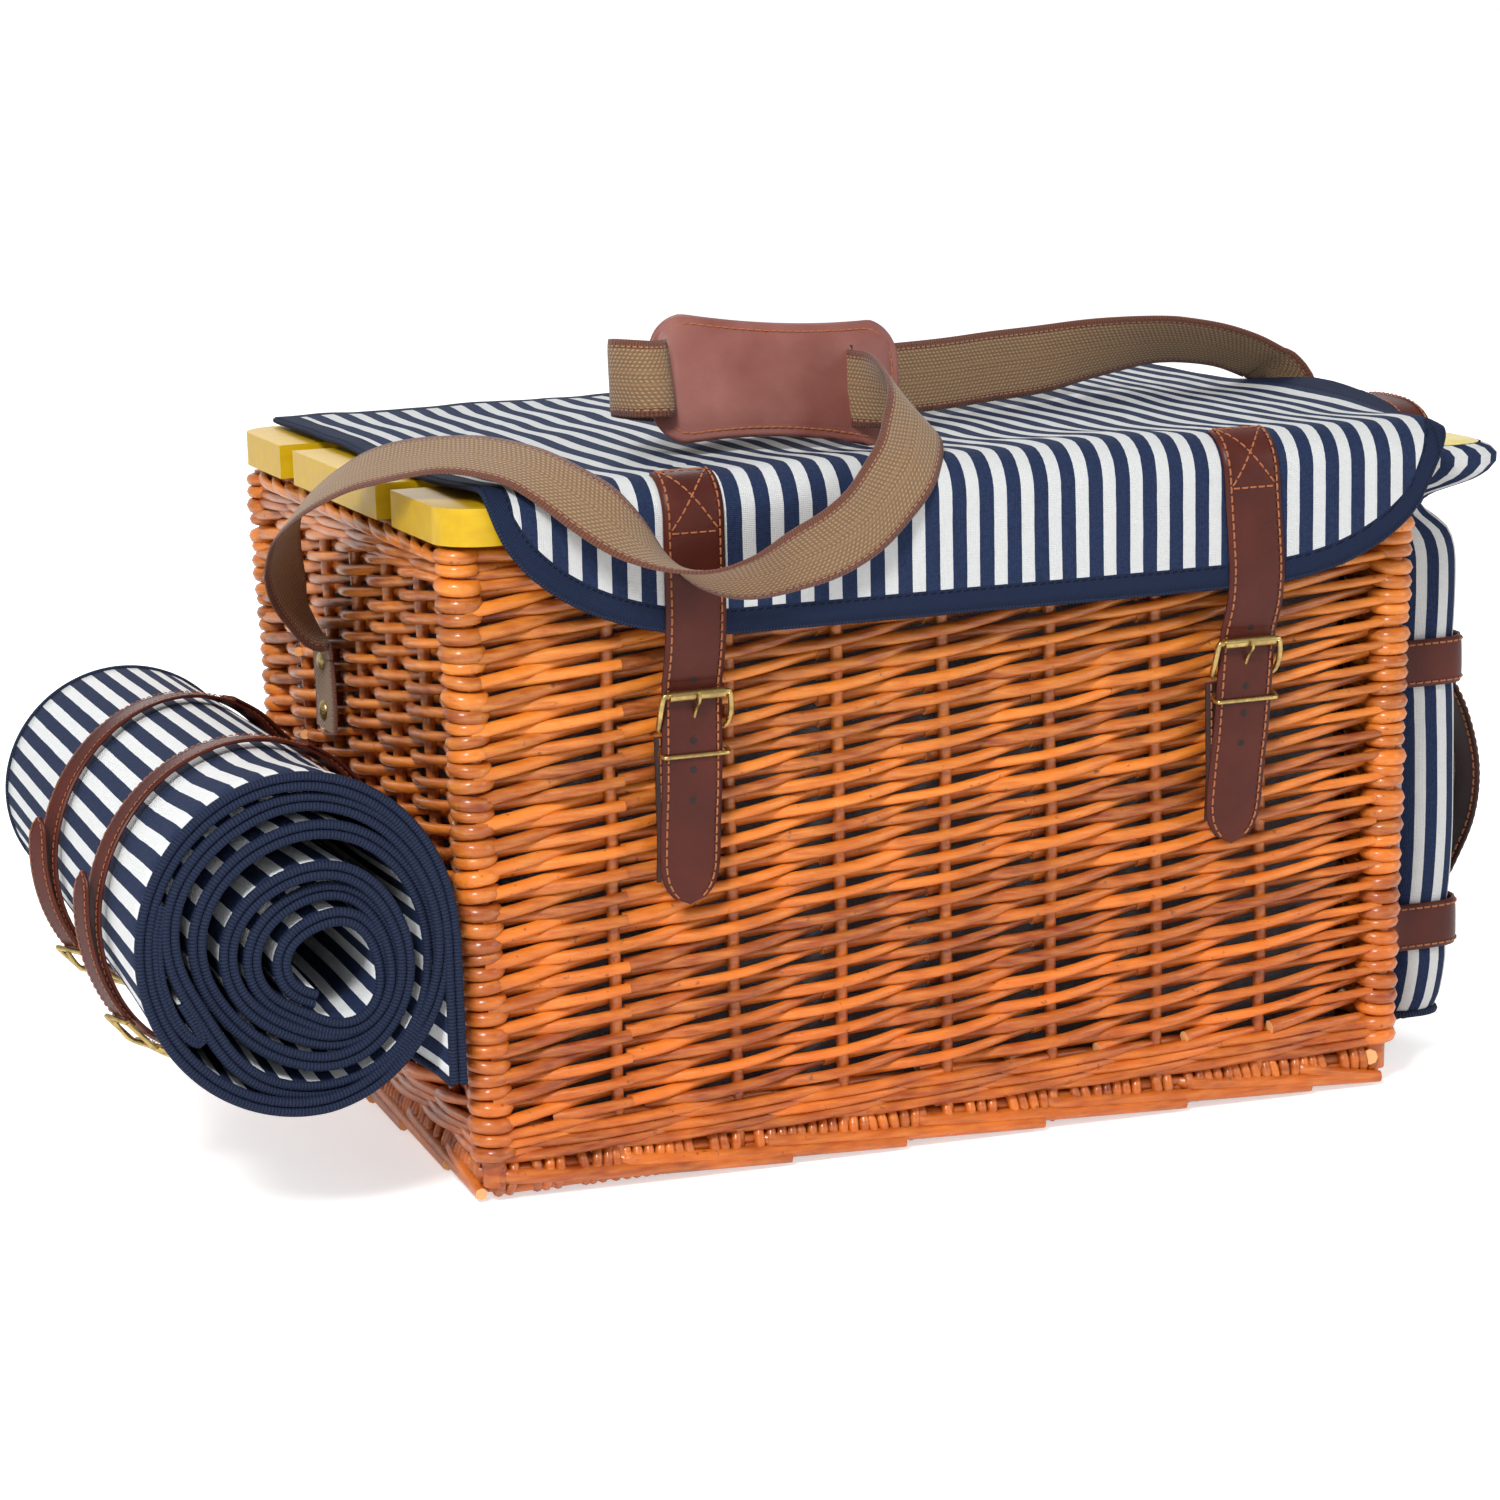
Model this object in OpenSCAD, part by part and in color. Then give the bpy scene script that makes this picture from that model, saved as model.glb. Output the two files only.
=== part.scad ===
// Picnic hamper: woven wicker basket with a plank lid, a canvas cover, a shoulder
// strap, a blanket roll held by two belts and a cooler bag held in a leather harness.
// Origin: centre of the basket's foot. +X right, +Y to the hinges, +Z up. Millimetres.

/* [Basket] */
// Length of the wicker at the foot
foot_l = 500; // [490:1:506]
// Length of the wicker at the rim
rim_l = 518; // [512:1:520]
// Depth of the wicker at the foot
foot_d = 360; // [352:1:366]
// Depth of the wicker at the rim
rim_d = 374; // [370:1:378]
// Height of the wicker
basket_h = 325; // [325:1:325]
// Thickness of a woven wall
wall_t = 14; // [12:1:16]
// Diameter of an upright stake
stake_dia = 7; // [5:0.5:8]
// Diameter of a corner post
post_dia = 16; // [14:1:17]
// Height of the foot border
foot_h = 22; // [18:1:24]
// Height of the rim border
rim_h = 17; // [14:1:18]

/* [Lid] */
// Length of a lid plank
plank_l = 522; // [520:1:524]
// Depth over the three planks
lid_d = 396; // [394:1:398]
// Plank thickness
plank_t = 18; // [16:1:18]
// Gap between planks
plank_gap = 27; // [20:1:30]
// Depth of the middle plank
mid_plank_d = 158; // [150:1:164]
// Radius of the lid's outer corners
corner_r = 24; // [15:1:30]
// Thickness of the canvas cover
canvas_t = 3; // [2:0.5:3]
// Drop of the front flap below the plank top
flap_drop = 70; // [60:1:74]

/* [Straps and buckles] */
// Width of a closing strap
strap_w = 30; // [26:1:30]
// Thickness of the leather
leather_t = 3; // [2.5:0.25:3]
// Distance of each closing strap from the middle of the pair
strap_pitch = 148; // [140:1:152]
// Radius of the brass wire
wire_r = 1.5; // [1.2:0.1:1.6]
// Width of the shoulder webbing
web_w = 38; // [34:1:40]
// Thickness of the shoulder webbing
web_t = 2.5; // [2:0.25:3]

/* [Carried pieces] */
// Radius of the blanket roll at its front end
roll_r_front = 80; // [76:1:80]
// Radius of the blanket roll at its back end
roll_r_back = 68; // [62:1:68]
// Width of the cooler bag along the wall
bag_w = 148; // [140:1:148]
// Thickness of the cooler bag
bag_t = 53; // [46:1:53]
// Height of the cooler bag's body
bag_h = 278; // [260:1:278]

/* [Hidden] */
$fn = 64;

gap = 0.3;
wicker_c = [0.80, 0.45, 0.17];
brown_c = [0.36, 0.16, 0.11];
brass_c = [0.72, 0.58, 0.30];
navy_c = [0.15, 0.20, 0.33];
web_c = [0.68, 0.54, 0.36];
yellow_c = [0.93, 0.78, 0.05];

// Walls lean outwards by these angles
lean_y = atan((rim_d - foot_d) / 2 / basket_h);
lean_x = atan((rim_l - foot_l) / 2 / basket_h);
weave_h = basket_h - foot_h - rim_h - 1;
plank_z = basket_h + gap;
cover_z = plank_z + plank_t + gap;
side_plank_d = (lid_d - mid_plank_d - 2 * plank_gap) / 2;
hinge_y = lid_d / 2 + 5;
hinge_z = basket_h;
hinge_x = 150;
pin_r = 2;
knuckle_r = 4;
leaf_w = 40;
knuckle_w = 15.4;
cover_left = -plank_l / 2 + 20;
cover_right = plank_l / 2 + 1;
margin_right = plank_l / 2 + 24;
flap_y = -lid_d / 2 - gap;
strap_mid = 6.5;
strap_y = flap_y - canvas_t - gap;
front_stake_x = [-178, -116, -59, -2, 56, 115, 174];
side_stake_y = [-116, -58, 0, 58, 116];

// Buckle: heights of its three bars, and the planes of its bars
roller_z = 247;
prong_z = 229;
keeper_z = 211;
buckle_strap_y = -199;
front_bar_y = -204.2;
prong_bar_y = -195.3;
frame_half = 17.5;
roller_r = 2.6;
prong_r = 1.1;

// Blanket roll: middle of its front end and of its back end
roll_front = [-341, -190, 142];
roll_back = [-336, 200, 150];
belt_t = 2.4;
belt_w = 15;
belt_clear = 0.7;
belt_y = [-82, 60];
belt_slant = [20, 28];

// Cooler bag: low corner of its body
bag_lo = [262.5, -150, 22];
bag_wall = 5;
band_h = 25;
band_t = 2.5;
band_z = [75, 217];

// Stations along the shoulder webbing: middle, then the direction across its width
leg_left_path = [
    [[-264, 31, 254.5], [0, -0.93, -0.37]], [[-273, 23, 264], [-0.26, -0.74, -0.62]],
    [[-281, 13, 278], [-0.44, -0.57, -0.69]], [[-288, 0, 291], [-0.56, -0.46, -0.69]],
    [[-293, -15, 304], [-0.62, -0.42, -0.67]], [[-295, -31, 315], [-0.65, -0.41, -0.64]],
    [[-295, -47, 325], [-0.69, -0.42, -0.59]], [[-292, -64, 334], [-0.7, -0.43, -0.56]],
    [[-288, -81, 342], [-0.71, -0.46, -0.54]], [[-281, -98, 350], [-0.69, -0.48, -0.53]]
];
front_path = [
    [[-280, -99.5, 350.5], [-0.69, -0.48, -0.53]], [[-273, -114, 356], [-0.7, -0.51, -0.5]],
    [[-264, -130, 360], [-0.71, -0.52, -0.47]], [[-254, -146, 363], [-0.73, -0.54, -0.41]],
    [[-243, -161, 365], [-0.75, -0.56, -0.35]], [[-231, -176, 364], [-0.75, -0.58, -0.31]],
    [[-218, -190, 360], [-0.74, -0.6, -0.3]], [[-206, -203, 352], [-0.72, -0.59, -0.36]],
    [[-193, -214, 341], [-0.68, -0.57, -0.46]], [[-179, -221, 328], [-0.58, -0.73, -0.38]],
    [[-165, -226, 317], [-0.34, -0.93, -0.13]], [[-149, -229, 309], [-0.13, -0.97, 0.22]],
    [[-131, -229, 306], [-0.07, -0.84, 0.54]], [[-113, -227, 307], [-0.13, -0.65, 0.75]],
    [[-95, -226, 312], [-0.25, -0.46, 0.85]], [[-77, -225, 318], [-0.37, -0.3, 0.88]],
    [[-60, -222, 327], [-0.5, -0.17, 0.85]], [[-46, -216, 338], [-0.62, -0.06, 0.79]],
    [[-33, -209, 350], [-0.72, 0.03, 0.7]], [[-24, -198, 361], [-0.77, 0.04, 0.63]],
    [[-17, -184, 371], [-0.73, -0.04, 0.68]], [[-14, -166, 376], [-0.61, -0.09, 0.79]],
    [[-13, -147, 378], [-0.43, -0.07, 0.9]], [[-15, -132, 378], [-0.2, 0.08, 0.98]],
    [[-20, -118.3, 378], [0, 0.28, 0.96]]
];
rear_path = [
    [[-121, -117, 389.5], [0, 0.28, 0.96]], [[-133, -117, 390], [0, 0.25, 0.97]],
    [[-142, -101, 390], [0, 0.1, 1]], [[-138, -87, 388], [0, 0, 1]],
    [[-122, -75, 384], [0, 0, 1]], [[-98, -65, 380], [0, 0, 1]],
    [[-64, -53, 376], [0, 0, 1]], [[-31, -41, 373], [0, 0, 1]],
    [[5, -29, 371], [0, 0, 1]], [[40, -17, 370], [0, 0, 1]],
    [[75, -7, 370], [0, 0, 1]], [[107, 3, 371], [0, -0.05, 1]],
    [[142, 12, 372], [0, -0.14, 0.99]], [[177, 19, 375], [0.02, -0.42, 0.9]],
    [[213, 22, 377], [0.08, -0.65, 0.75]], [[231, 22, 376], [0.14, -0.73, 0.66]],
    [[249, 21, 373], [0.23, -0.78, 0.58]], [[266, 21, 368], [0.33, -0.81, 0.47]],
    [[281, 21, 361], [0.41, -0.83, 0.37]]
];
leg_right_path = [
    [[281.9, 21, 360.58], [0.41, -0.83, 0.37]], [[286.43, 21, 358.47], [0.41, -0.83, 0.37]],
    [[295, 22, 351], [0.44, -0.88, 0.18]], [[301.5, 25, 337], [0.47, -0.88, 0.03]], [[305, 30, 321], [0.42, -0.9, -0.09]],
    [[305, 36, 304], [0.3, -0.94, -0.15]], [[300, 43, 288], [0.17, -0.97, -0.15]],
    [[290, 47, 274], [0.06, -0.99, -0.11]], [[277, 50, 262], [0, -1, -0.06]],
    [[263.5, 51, 251], [0, -1, 0]]
];

function unit(v) = v / norm(v);
function mid(path, i) = path[max(0, min(len(path) - 1, i))][0];
function tangent(path, i) = unit(mid(path, i + 1) - mid(path, i - 1));
function across(path, i) =
    let (t = tangent(path, i), w = path[i][1])
    unit(w - t * (w * t));
function ring(path, i, w, t) =
    let (c = path[i][0], a = across(path, i) * w / 2,
         n = cross(tangent(path, i), across(path, i)) * t / 2)
    [c - a - n, c + a - n, c + a + n, c - a + n];

// Flat band of width w and thickness t swept along the stations of a path
module band(path, w, t) {
    last = len(path) - 1;
    pts = [for (i = [0:last]) each ring(path, i, w, t)];
    // Quad corners a, b, c, d; opposite faces are cut along matching diagonals
    quads = [for (i = [0:last - 1], k = [0:3])
        [4 * i + k, 4 * i + 4 + k, 4 * i + 4 + (k + 1) % 4, 4 * i + (k + 1) % 4, k]];
    sides = [for (q = quads) each q[4] < 2 ? [[q[0], q[1], q[2]], [q[0], q[2], q[3]]]
        : [[q[0], q[1], q[3]], [q[1], q[2], q[3]]]];
    e = 4 * last;
    ends = [[0, 1, 2], [0, 2, 3], [e + 3, e + 2, e + 1], [e + 3, e + 1, e]];
    polyhedron(points = pts, faces = concat(ends, sides));
}

// Straight rod between two points
module rod(a, b, r) {
    v = b - a;
    translate(a) rotate([0, acos(v[2] / norm(v)), atan2(v[1], v[0])])
        cylinder(h = norm(v), r = r);
}

// Outline of a band of thickness t that follows flat points, all convex or nearly straight
function side_dir(p, i) =
    let (a = p[max(0, i - 1)], b = p[min(len(p) - 1, i + 1)], d = unit(b - a))
    [-d[1], d[0]];
module flat_band(p, t) {
    n = len(p) - 1;
    polygon(concat(
        [for (i = [0:n]) p[i] + side_dir(p, i) * t / 2],
        [for (i = [n:-1:0]) p[i] - side_dir(p, i) * t / 2]));
}

// Stands the XY outline up in the YZ plane and gives it width w along X
module across_x(x, w) {
    translate([x - w / 2, 0, 0]) rotate([90, 0, 90]) linear_extrude(w) children();
}

// ---- Wicker ----
// A wall in its own frame: X along the wall, Y up it, Z out of it, outer face at Z = 0
module wall_slab(l_low, l_high, places) {
    difference() {
        translate([0, foot_h + 0.5, -wall_t]) linear_extrude(wall_t)
            polygon([[-l_low / 2, 0], [l_low / 2, 0],
                     [l_high / 2, weave_h], [-l_high / 2, weave_h]]);
        for (x = places) translate([x, foot_h, -wall_t / 2]) rotate([-90, 0, 0])
            cylinder(h = weave_h + 2, d = stake_dia + 0.4);
    }
}
module stake_row(places) {
    for (x = places) translate([x, foot_h + 0.5, -wall_t / 2]) rotate([-90, 0, 0])
        cylinder(h = weave_h, d = stake_dia);
}
module on_front(turn, half, lean) {
    rotate([0, 0, turn]) translate([0, -half, 0]) rotate([90 + lean, 0, 0]) children();
}
long_low = foot_l - 2 * post_dia - 2;
long_high = rim_l - 2 * post_dia - 2;
short_low = foot_d - 2 * post_dia - 2;
short_high = rim_d - 2 * post_dia - 2;
module long_wall() { wall_slab(long_low, long_high, front_stake_x); }
module short_wall() { wall_slab(short_low, short_high, side_stake_y); }
module front_wall() { color(wicker_c) on_front(0, foot_d / 2, lean_y) long_wall(); }
module back_wall() { color(wicker_c) on_front(180, foot_d / 2, lean_y) long_wall(); }
module left_wall() { color(wicker_c) on_front(-90, foot_l / 2, lean_x) short_wall(); }
module right_wall() { color(wicker_c) on_front(90, foot_l / 2, lean_x) short_wall(); }
module front_stakes() {
    color(wicker_c * 0.8) on_front(0, foot_d / 2, lean_y) stake_row(front_stake_x);
}
module back_stakes() {
    color(wicker_c * 0.8) on_front(180, foot_d / 2, lean_y) stake_row(front_stake_x);
}
module left_stakes() {
    color(wicker_c * 0.8) on_front(-90, foot_l / 2, lean_x) stake_row(side_stake_y);
}
module right_stakes() {
    color(wicker_c * 0.8) on_front(90, foot_l / 2, lean_x) stake_row(side_stake_y);
}

// Middle of a corner post at height z
function post_at(sx, sy, z) = [
    sx * (foot_l / 2 - post_dia / 2 + (rim_l - foot_l) / 2 * z / basket_h),
    sy * (foot_d / 2 - post_dia / 2 + (rim_d - foot_d) / 2 * z / basket_h), z];
module corner_posts() {
    color(wicker_c * 0.9) for (sx = [-1, 1], sy = [-1, 1])
        rod(post_at(sx, sy, foot_h + gap), post_at(sx, sy, basket_h - rim_h - gap), post_dia / 2);
}

module rounded_rect(l, d, r) {
    for (x = [-1, 1], y = [-1, 1])
        translate([x * (l / 2 - r), y * (d / 2 - r)]) circle(r);
    square([l - 2 * r, d], center = true);
    square([l, d - 2 * r], center = true);
}
module border(l, d, t, z, h) {
    translate([0, 0, z]) linear_extrude(h) difference() {
        rounded_rect(l, d, 8);
        square([l - 2 * t, d - 2 * t], center = true);
    }
}
module foot_border() { color(wicker_c) border(foot_l + 4, foot_d + 4, 18, 0, foot_h); }
module rim_border() {
    color(wicker_c) border(rim_l, rim_d, wall_t, basket_h - rim_h, rim_h);
}

base_z = 4;
base_t = 13;
base_l = foot_l - 34;
base_d = foot_d - 34;
stick_dia = 8;
stick_y = [-120, -60, 0, 60, 120];
module base_stick_set(d, l) {
    for (y = stick_y) translate([-l / 2, y, base_z + base_t / 2]) rotate([0, 90, 0])
        cylinder(h = l, d = d);
}
module base_mat() {
    color(wicker_c) difference() {
        translate([-base_l / 2, -base_d / 2, base_z]) cube([base_l, base_d, base_t]);
        base_stick_set(stick_dia + 0.4, base_l + 2);
    }
}
module base_sticks() { color(wicker_c * 0.8) base_stick_set(stick_dia, base_l); }

lining_t = 1.5;
module lining() {
    l = foot_l - 2 * wall_t - 6;
    d = foot_d - 2 * wall_t - 6;
    z = base_z + base_t + 5.5;
    color([0.55, 0.57, 0.60]) difference() {
        translate([-l / 2, -d / 2, z]) cube([l, d, basket_h - rim_h - z - 1]);
        translate([-l / 2 + lining_t, -d / 2 + lining_t, z + lining_t])
            cube([l - 2 * lining_t, d - 2 * lining_t, basket_h]);
    }
}

// ---- Hinges ----
leaf_t = 1.5;
rim_back_y = rim_d / 2 + gap;
module knuckle(x, w, r) {
    translate([x - w / 2, hinge_y, hinge_z]) rotate([0, 90, 0]) difference() {
        cylinder(h = w, r = knuckle_r);
        translate([0, 0, -1]) cylinder(h = w + 2, r = r);
    }
}
module hinge_leaves_fixed() {
    outer_w = (leaf_w - knuckle_w) / 2 - gap;
    color(brass_c) for (x = [-hinge_x, hinge_x]) {
        for (s = [-1, 1]) {
            knuckle(x + s * (leaf_w - outer_w) / 2, outer_w, pin_r + 0.02);
            translate([x + s * (leaf_w - outer_w) / 2 - outer_w / 2, rim_back_y, hinge_z - knuckle_r])
                cube([outer_w, hinge_y - rim_back_y - 2.5, leaf_t]);
        }
        translate([x - leaf_w / 2, rim_back_y, hinge_z - 34]) cube([leaf_w, leaf_t, 30]);
    }
}
module hinge_leaves_moving() {
    color(brass_c) for (x = [-hinge_x, hinge_x]) {
        knuckle(x, knuckle_w, pin_r + 0.05);
        translate([x - leaf_w / 2, lid_d / 2 + gap, plank_z + 3.7])
            cube([leaf_w, leaf_t, plank_t - 4.7]);
        translate([x - knuckle_w / 2, lid_d / 2 + gap, plank_z + 2.5])
            cube([knuckle_w, 4, leaf_t]);
    }
}
module hinge_pins() {
    color(brass_c) for (x = [-hinge_x, hinge_x])
        translate([x - leaf_w / 2 - 1, hinge_y, hinge_z]) rotate([0, 90, 0])
            cylinder(h = leaf_w + 2, r = pin_r);
}
// Domed heads of the screws in the moving leaves
module hinge_screws() {
    color(brass_c) for (x = [-hinge_x, hinge_x], s = [-14, 14])
        translate([x + s, lid_d / 2 + gap + leaf_t, plank_z + 10]) rotate([-90, 0, 0])
            cylinder(h = 1.5, r1 = 3, r2 = 2);
}

// ---- Lid ----
module plank(y, d) {
    translate([-plank_l / 2, y - d / 2, plank_z]) cube([plank_l, d, plank_t]);
}
module lid_outline() {
    translate([0, 0, plank_z - 1]) linear_extrude(plank_t + 2)
        rounded_rect(plank_l, lid_d, corner_r);
}
side_plank_y = lid_d / 2 - side_plank_d / 2;
module front_plank() {
    color(yellow_c) intersection() { plank(-side_plank_y, side_plank_d); lid_outline(); }
}
module middle_plank() { color(yellow_c) plank(0, mid_plank_d); }
module back_plank() {
    color(yellow_c) intersection() { plank(side_plank_y, side_plank_d); lid_outline(); }
}
batten_l = 330;
batten_w = 32;
batten_t = 11.5;
batten_x = [-170, 0, 170];
screw_y = [-150, -118, -55, 0, 55, 118, 150];
module battens() {
    color(yellow_c * 0.9) for (x = batten_x)
        translate([x - batten_w / 2, -batten_l / 2, plank_z - batten_t])
            cube([batten_w, batten_l, batten_t]);
}
module batten_screws() {
    color(brass_c) for (x = batten_x, y = screw_y) translate([x, y, plank_z - batten_t - 1.2]) {
        cylinder(h = 1.2, r = 3.5);
        cylinder(h = 20, r = 1.75);
    }
}

// Canvas: flat on the planks, folded over the front edge, with a round-cornered flap
module canvas_cover() {
    flap_r = flap_drop - 2;
    w = cover_right + 10 - cover_left;
    color([0.80, 0.81, 0.84]) {
        translate([cover_left, flap_y, cover_z])
            cube([cover_right - cover_left, lid_d - 2, canvas_t]);
        translate([cover_left, flap_y, cover_z + canvas_t]) rotate([90, 0, 90])
            intersection() {
                translate([0, -canvas_t, 0]) cylinder(h = w, r = canvas_t);
                translate([-10, -canvas_t, 0]) cube([10, 10, w]);
            }
        translate([0, flap_y, cover_z]) rotate([90, 0, 0]) linear_extrude(canvas_t)
            translate([cover_left + w / 2, 0]) intersection() {
                rounded_rect(w, 2 * flap_drop, flap_r);
                translate([-w / 2, -flap_drop]) square([w, flap_drop]);
            }
    }
}
// Soft edge of the canvas that overhangs the right end of the planks
module cover_margin() {
    color([0.80, 0.81, 0.84]) translate([cover_right + gap, -lid_d / 2 + 12, cover_z])
        cube([margin_right - cover_right, lid_d - 24, canvas_t]);
}

// ---- Closing straps and their buckles ----
strap_top_z = cover_z + canvas_t + gap + leather_t / 2;
strap_front_y = strap_y - leather_t / 2;
strap_bend_r = strap_top_z - cover_z;
strap_bend = [for (a = [0:22.5:90])
    [flap_y - strap_bend_r * sin(a), cover_z + strap_bend_r * cos(a)]];
strap_profile = concat([[-174, strap_top_z]], strap_bend,
    [[strap_front_y, 272], [-200.2, 258], [buckle_strap_y, 250], [buckle_strap_y, 205],
     [-196.5, 185], [-194.5, 143]]);
module closing_strap(x) {
    tip_z = 143;
    color(brown_c) difference() {
        across_x(x, strap_w) flat_band(strap_profile, leather_t);
        translate([x - 2.5, -215, prong_z - 2.5]) cube([5, 30, 19]);
        for (z = [224, 210, 195]) translate([x, -180, z]) rotate([90, 0, 0])
            cylinder(h = 30, d = 3.5);
        for (s = [-1, 1]) translate([x + s * strap_w / 2, -180, tip_z]) rotate([90, 0, 0])
            linear_extrude(30) polygon([[s, -1], [-s * strap_w / 2, -1], [s, 24]]);
    }
}
module strap_left() { closing_strap(strap_mid - strap_pitch); }
module strap_right() { closing_strap(strap_mid + strap_pitch); }

// Short lower strap fixed to the wicker, with its stitched top behind the buckle
module strap_tab(x) {
    tab_w = 28;
    color(brown_c * 0.7) translate([x - 3 - tab_w / 2, -190.5, 155])
        cube([tab_w, leather_t, 68]);
}
module strap_tab_left() { strap_tab(strap_mid - strap_pitch); }
module strap_tab_right() { strap_tab(strap_mid + strap_pitch); }

module buckle_frame(x) {
    corner = [[-1, roller_z], [1, roller_z], [1, keeper_z], [-1, keeper_z]];
    function spot(i) =
        [x + corner[i % 4][0] * frame_half, front_bar_y, corner[i % 4][1]];
    color(brass_c) {
        for (i = [0:3]) {
            rod(spot(i), spot(i + 1), wire_r);
            translate(spot(i)) sphere(wire_r);
        }
        for (s = [-1, 1]) rod([x + s * frame_half, front_bar_y, prong_z],
                              [x + s * frame_half, prong_bar_y, prong_z], wire_r);
        for (s = [-1, 1]) translate([x + s * frame_half, prong_bar_y, prong_z]) sphere(wire_r);
        rod([x - frame_half, prong_bar_y, prong_z], [x + frame_half, prong_bar_y, prong_z], wire_r);
    }
}
module buckle_roller(x) {
    roller_w = 28;
    color(brass_c) translate([x - roller_w / 2, front_bar_y, roller_z]) rotate([0, 90, 0])
        difference() {
            cylinder(h = roller_w, r = roller_r);
            translate([0, 0, -1]) cylinder(h = roller_w + 2, r = wire_r + 0.05);
        }
}
// Prong: an eye on the middle bar and an arm whose tip lies on the roller
module buckle_prong(x) {
    prong_w = 2 * prong_r;
    tip_y = front_bar_y - roller_r - prong_r - gap;
    arm = [[prong_bar_y - 1.4, prong_z + 1.4], [-199.5, 235], [-203.6, 240.5],
           [tip_y, roller_z - 2.5], [tip_y, roller_z + 2.5]];
    color(brass_c) across_x(x, prong_w) difference() {
        union() {
            translate([prong_bar_y, prong_z]) circle(wire_r + 1.2);
            flat_band(arm, prong_w);
        }
        translate([prong_bar_y, prong_z]) circle(wire_r + 0.05);
    }
}
module buckle_frame_left() { buckle_frame(strap_mid - strap_pitch); }
module buckle_frame_right() { buckle_frame(strap_mid + strap_pitch); }
module buckle_roller_left() { buckle_roller(strap_mid - strap_pitch); }
module buckle_roller_right() { buckle_roller(strap_mid + strap_pitch); }
module buckle_prong_left() { buckle_prong(strap_mid - strap_pitch); }
module buckle_prong_right() { buckle_prong(strap_mid + strap_pitch); }

// ---- Shoulder strap ----
end_l = 42;
end_y = [34, 51];
module web_end(side, y) {
    color(web_c) translate([side * 260.9 - web_t / 2, y - web_w / 2, 203])
        cube([web_t, web_w, end_l]);
}
// Two rivets through the folded end and the weave
module web_rivets(side, y) {
    color(brass_c) for (z = [212, 238]) translate([side * 262.2, y, z]) rotate([0, side * 90, 0]) {
        cylinder(h = 2, r1 = 4.5, r2 = 3.5);
        translate([0, 0, -21]) cylinder(h = 21.5, r = 1.5);
        translate([0, 0, -22.5]) cylinder(h = 1.5, r = 5);
    }
}
module web_end_left() { web_end(-1, end_y[0]); }
module web_end_right() { web_end(1, end_y[1]); }
module web_rivets_left() { web_rivets(-1, end_y[0]); }
module web_rivets_right() { web_rivets(1, end_y[1]); }
module web_leg_left() { color(web_c) band(leg_left_path, web_w, web_t); }
module web_leg_right() { color(web_c) band(leg_right_path, web_w, web_t); }
module web_front() { color(web_c) band(front_path, web_w, web_t); }
module web_rear() { color(web_c) band(rear_path, web_w, web_t); }

// The pad's own frame: X along it, Y up it, Z towards the viewer's side
pad_c = [-58, -111.5, 384.5];
pad_l = 134;
pad_w = 66;
pad_t = 4;
slot_x = [-61, 38];
module in_pad() { translate(pad_c) rotate([0, 5, 0]) rotate([74, 0, 0]) children(); }
module shoulder_pad() {
    color(brown_c * 1.2) in_pad() translate([0, 0, -pad_t / 2]) linear_extrude(pad_t)
        difference() {
            rounded_rect(pad_l, pad_w, 18);
            for (s = [-1, 1]) translate([0, s * (pad_w / 2 + 245)]) circle(250, $fn = 200);
            for (x = slot_x) translate([x - 2.5, -web_w / 2 - 1]) square([5, web_w + 2]);
        }
}
module web_pad_run() {
    color(web_c) in_pad() translate([slot_x[0] + 2, -web_w / 2, -pad_t / 2 - gap - web_t])
        cube([slot_x[1] - slot_x[0] - 4, web_w, web_t]);
}

// ---- Blanket roll and its belts ----
roll_v = roll_back - roll_front;
roll_l = norm(roll_v);
module along_roll() {
    translate(roll_front)
        rotate([0, acos(roll_v[2] / roll_l), atan2(roll_v[1], roll_v[0])]) children();
}
module blanket_roll() {
    color(navy_c) along_roll() cylinder(h = roll_l, r1 = roll_r_front, r2 = roll_r_back, $fn = 96);
}
// Slab of width belt_w, slanted across the roll; i is 0 for the front belt and 1 for the back one
module belt_slab(i) {
    translate([roll_front[0], belt_y[i], roll_front[2]]) rotate([0, 0, belt_slant[i]])
        translate([-150, -belt_w / 2, -150]) cube([300, belt_w, 300]);
}
module roll_shell(extra) {
    along_roll() translate([0, 0, -2])
        cylinder(h = roll_l + 4, r1 = roll_r_front + extra, r2 = roll_r_back + extra, $fn = 96);
}
module blanket_belt(i) {
    lug_z = 172;
    y = belt_y[i];
    color(brown_c) difference() {
        intersection() {
            union() {
                roll_shell(belt_clear + belt_t);
                translate([-290, y - 10, lug_z]) cube([290 - 255.3, 90, 14]);
            }
            belt_slab(i);
        }
        roll_shell(belt_clear);
    }
}
module blanket_belt_front() { blanket_belt(0); }
module blanket_belt_back() { blanket_belt(1); }
// Small wire buckles low on the outer side of each belt
module belt_buckles() {
    half_w = 10;
    half_h = 9;
    color(brass_c) for (i = [0, 1])
        translate([-340, belt_y[i] - 78 * tan(belt_slant[i]), 146 + 2 * i]) rotate([0, -25, 0])
        translate([i == 0 ? -87 : -82, 0, 0]) for (s = [-1, 1]) {
            rod([0, -half_w, s * half_h], [0, half_w, s * half_h], 1.2);
            rod([0, s * half_w, -half_h], [0, s * half_w, half_h], 1.2);
            for (e = [-1, 1]) translate([0, s * half_w, e * half_h]) sphere(1.2);
        }
}

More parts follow.
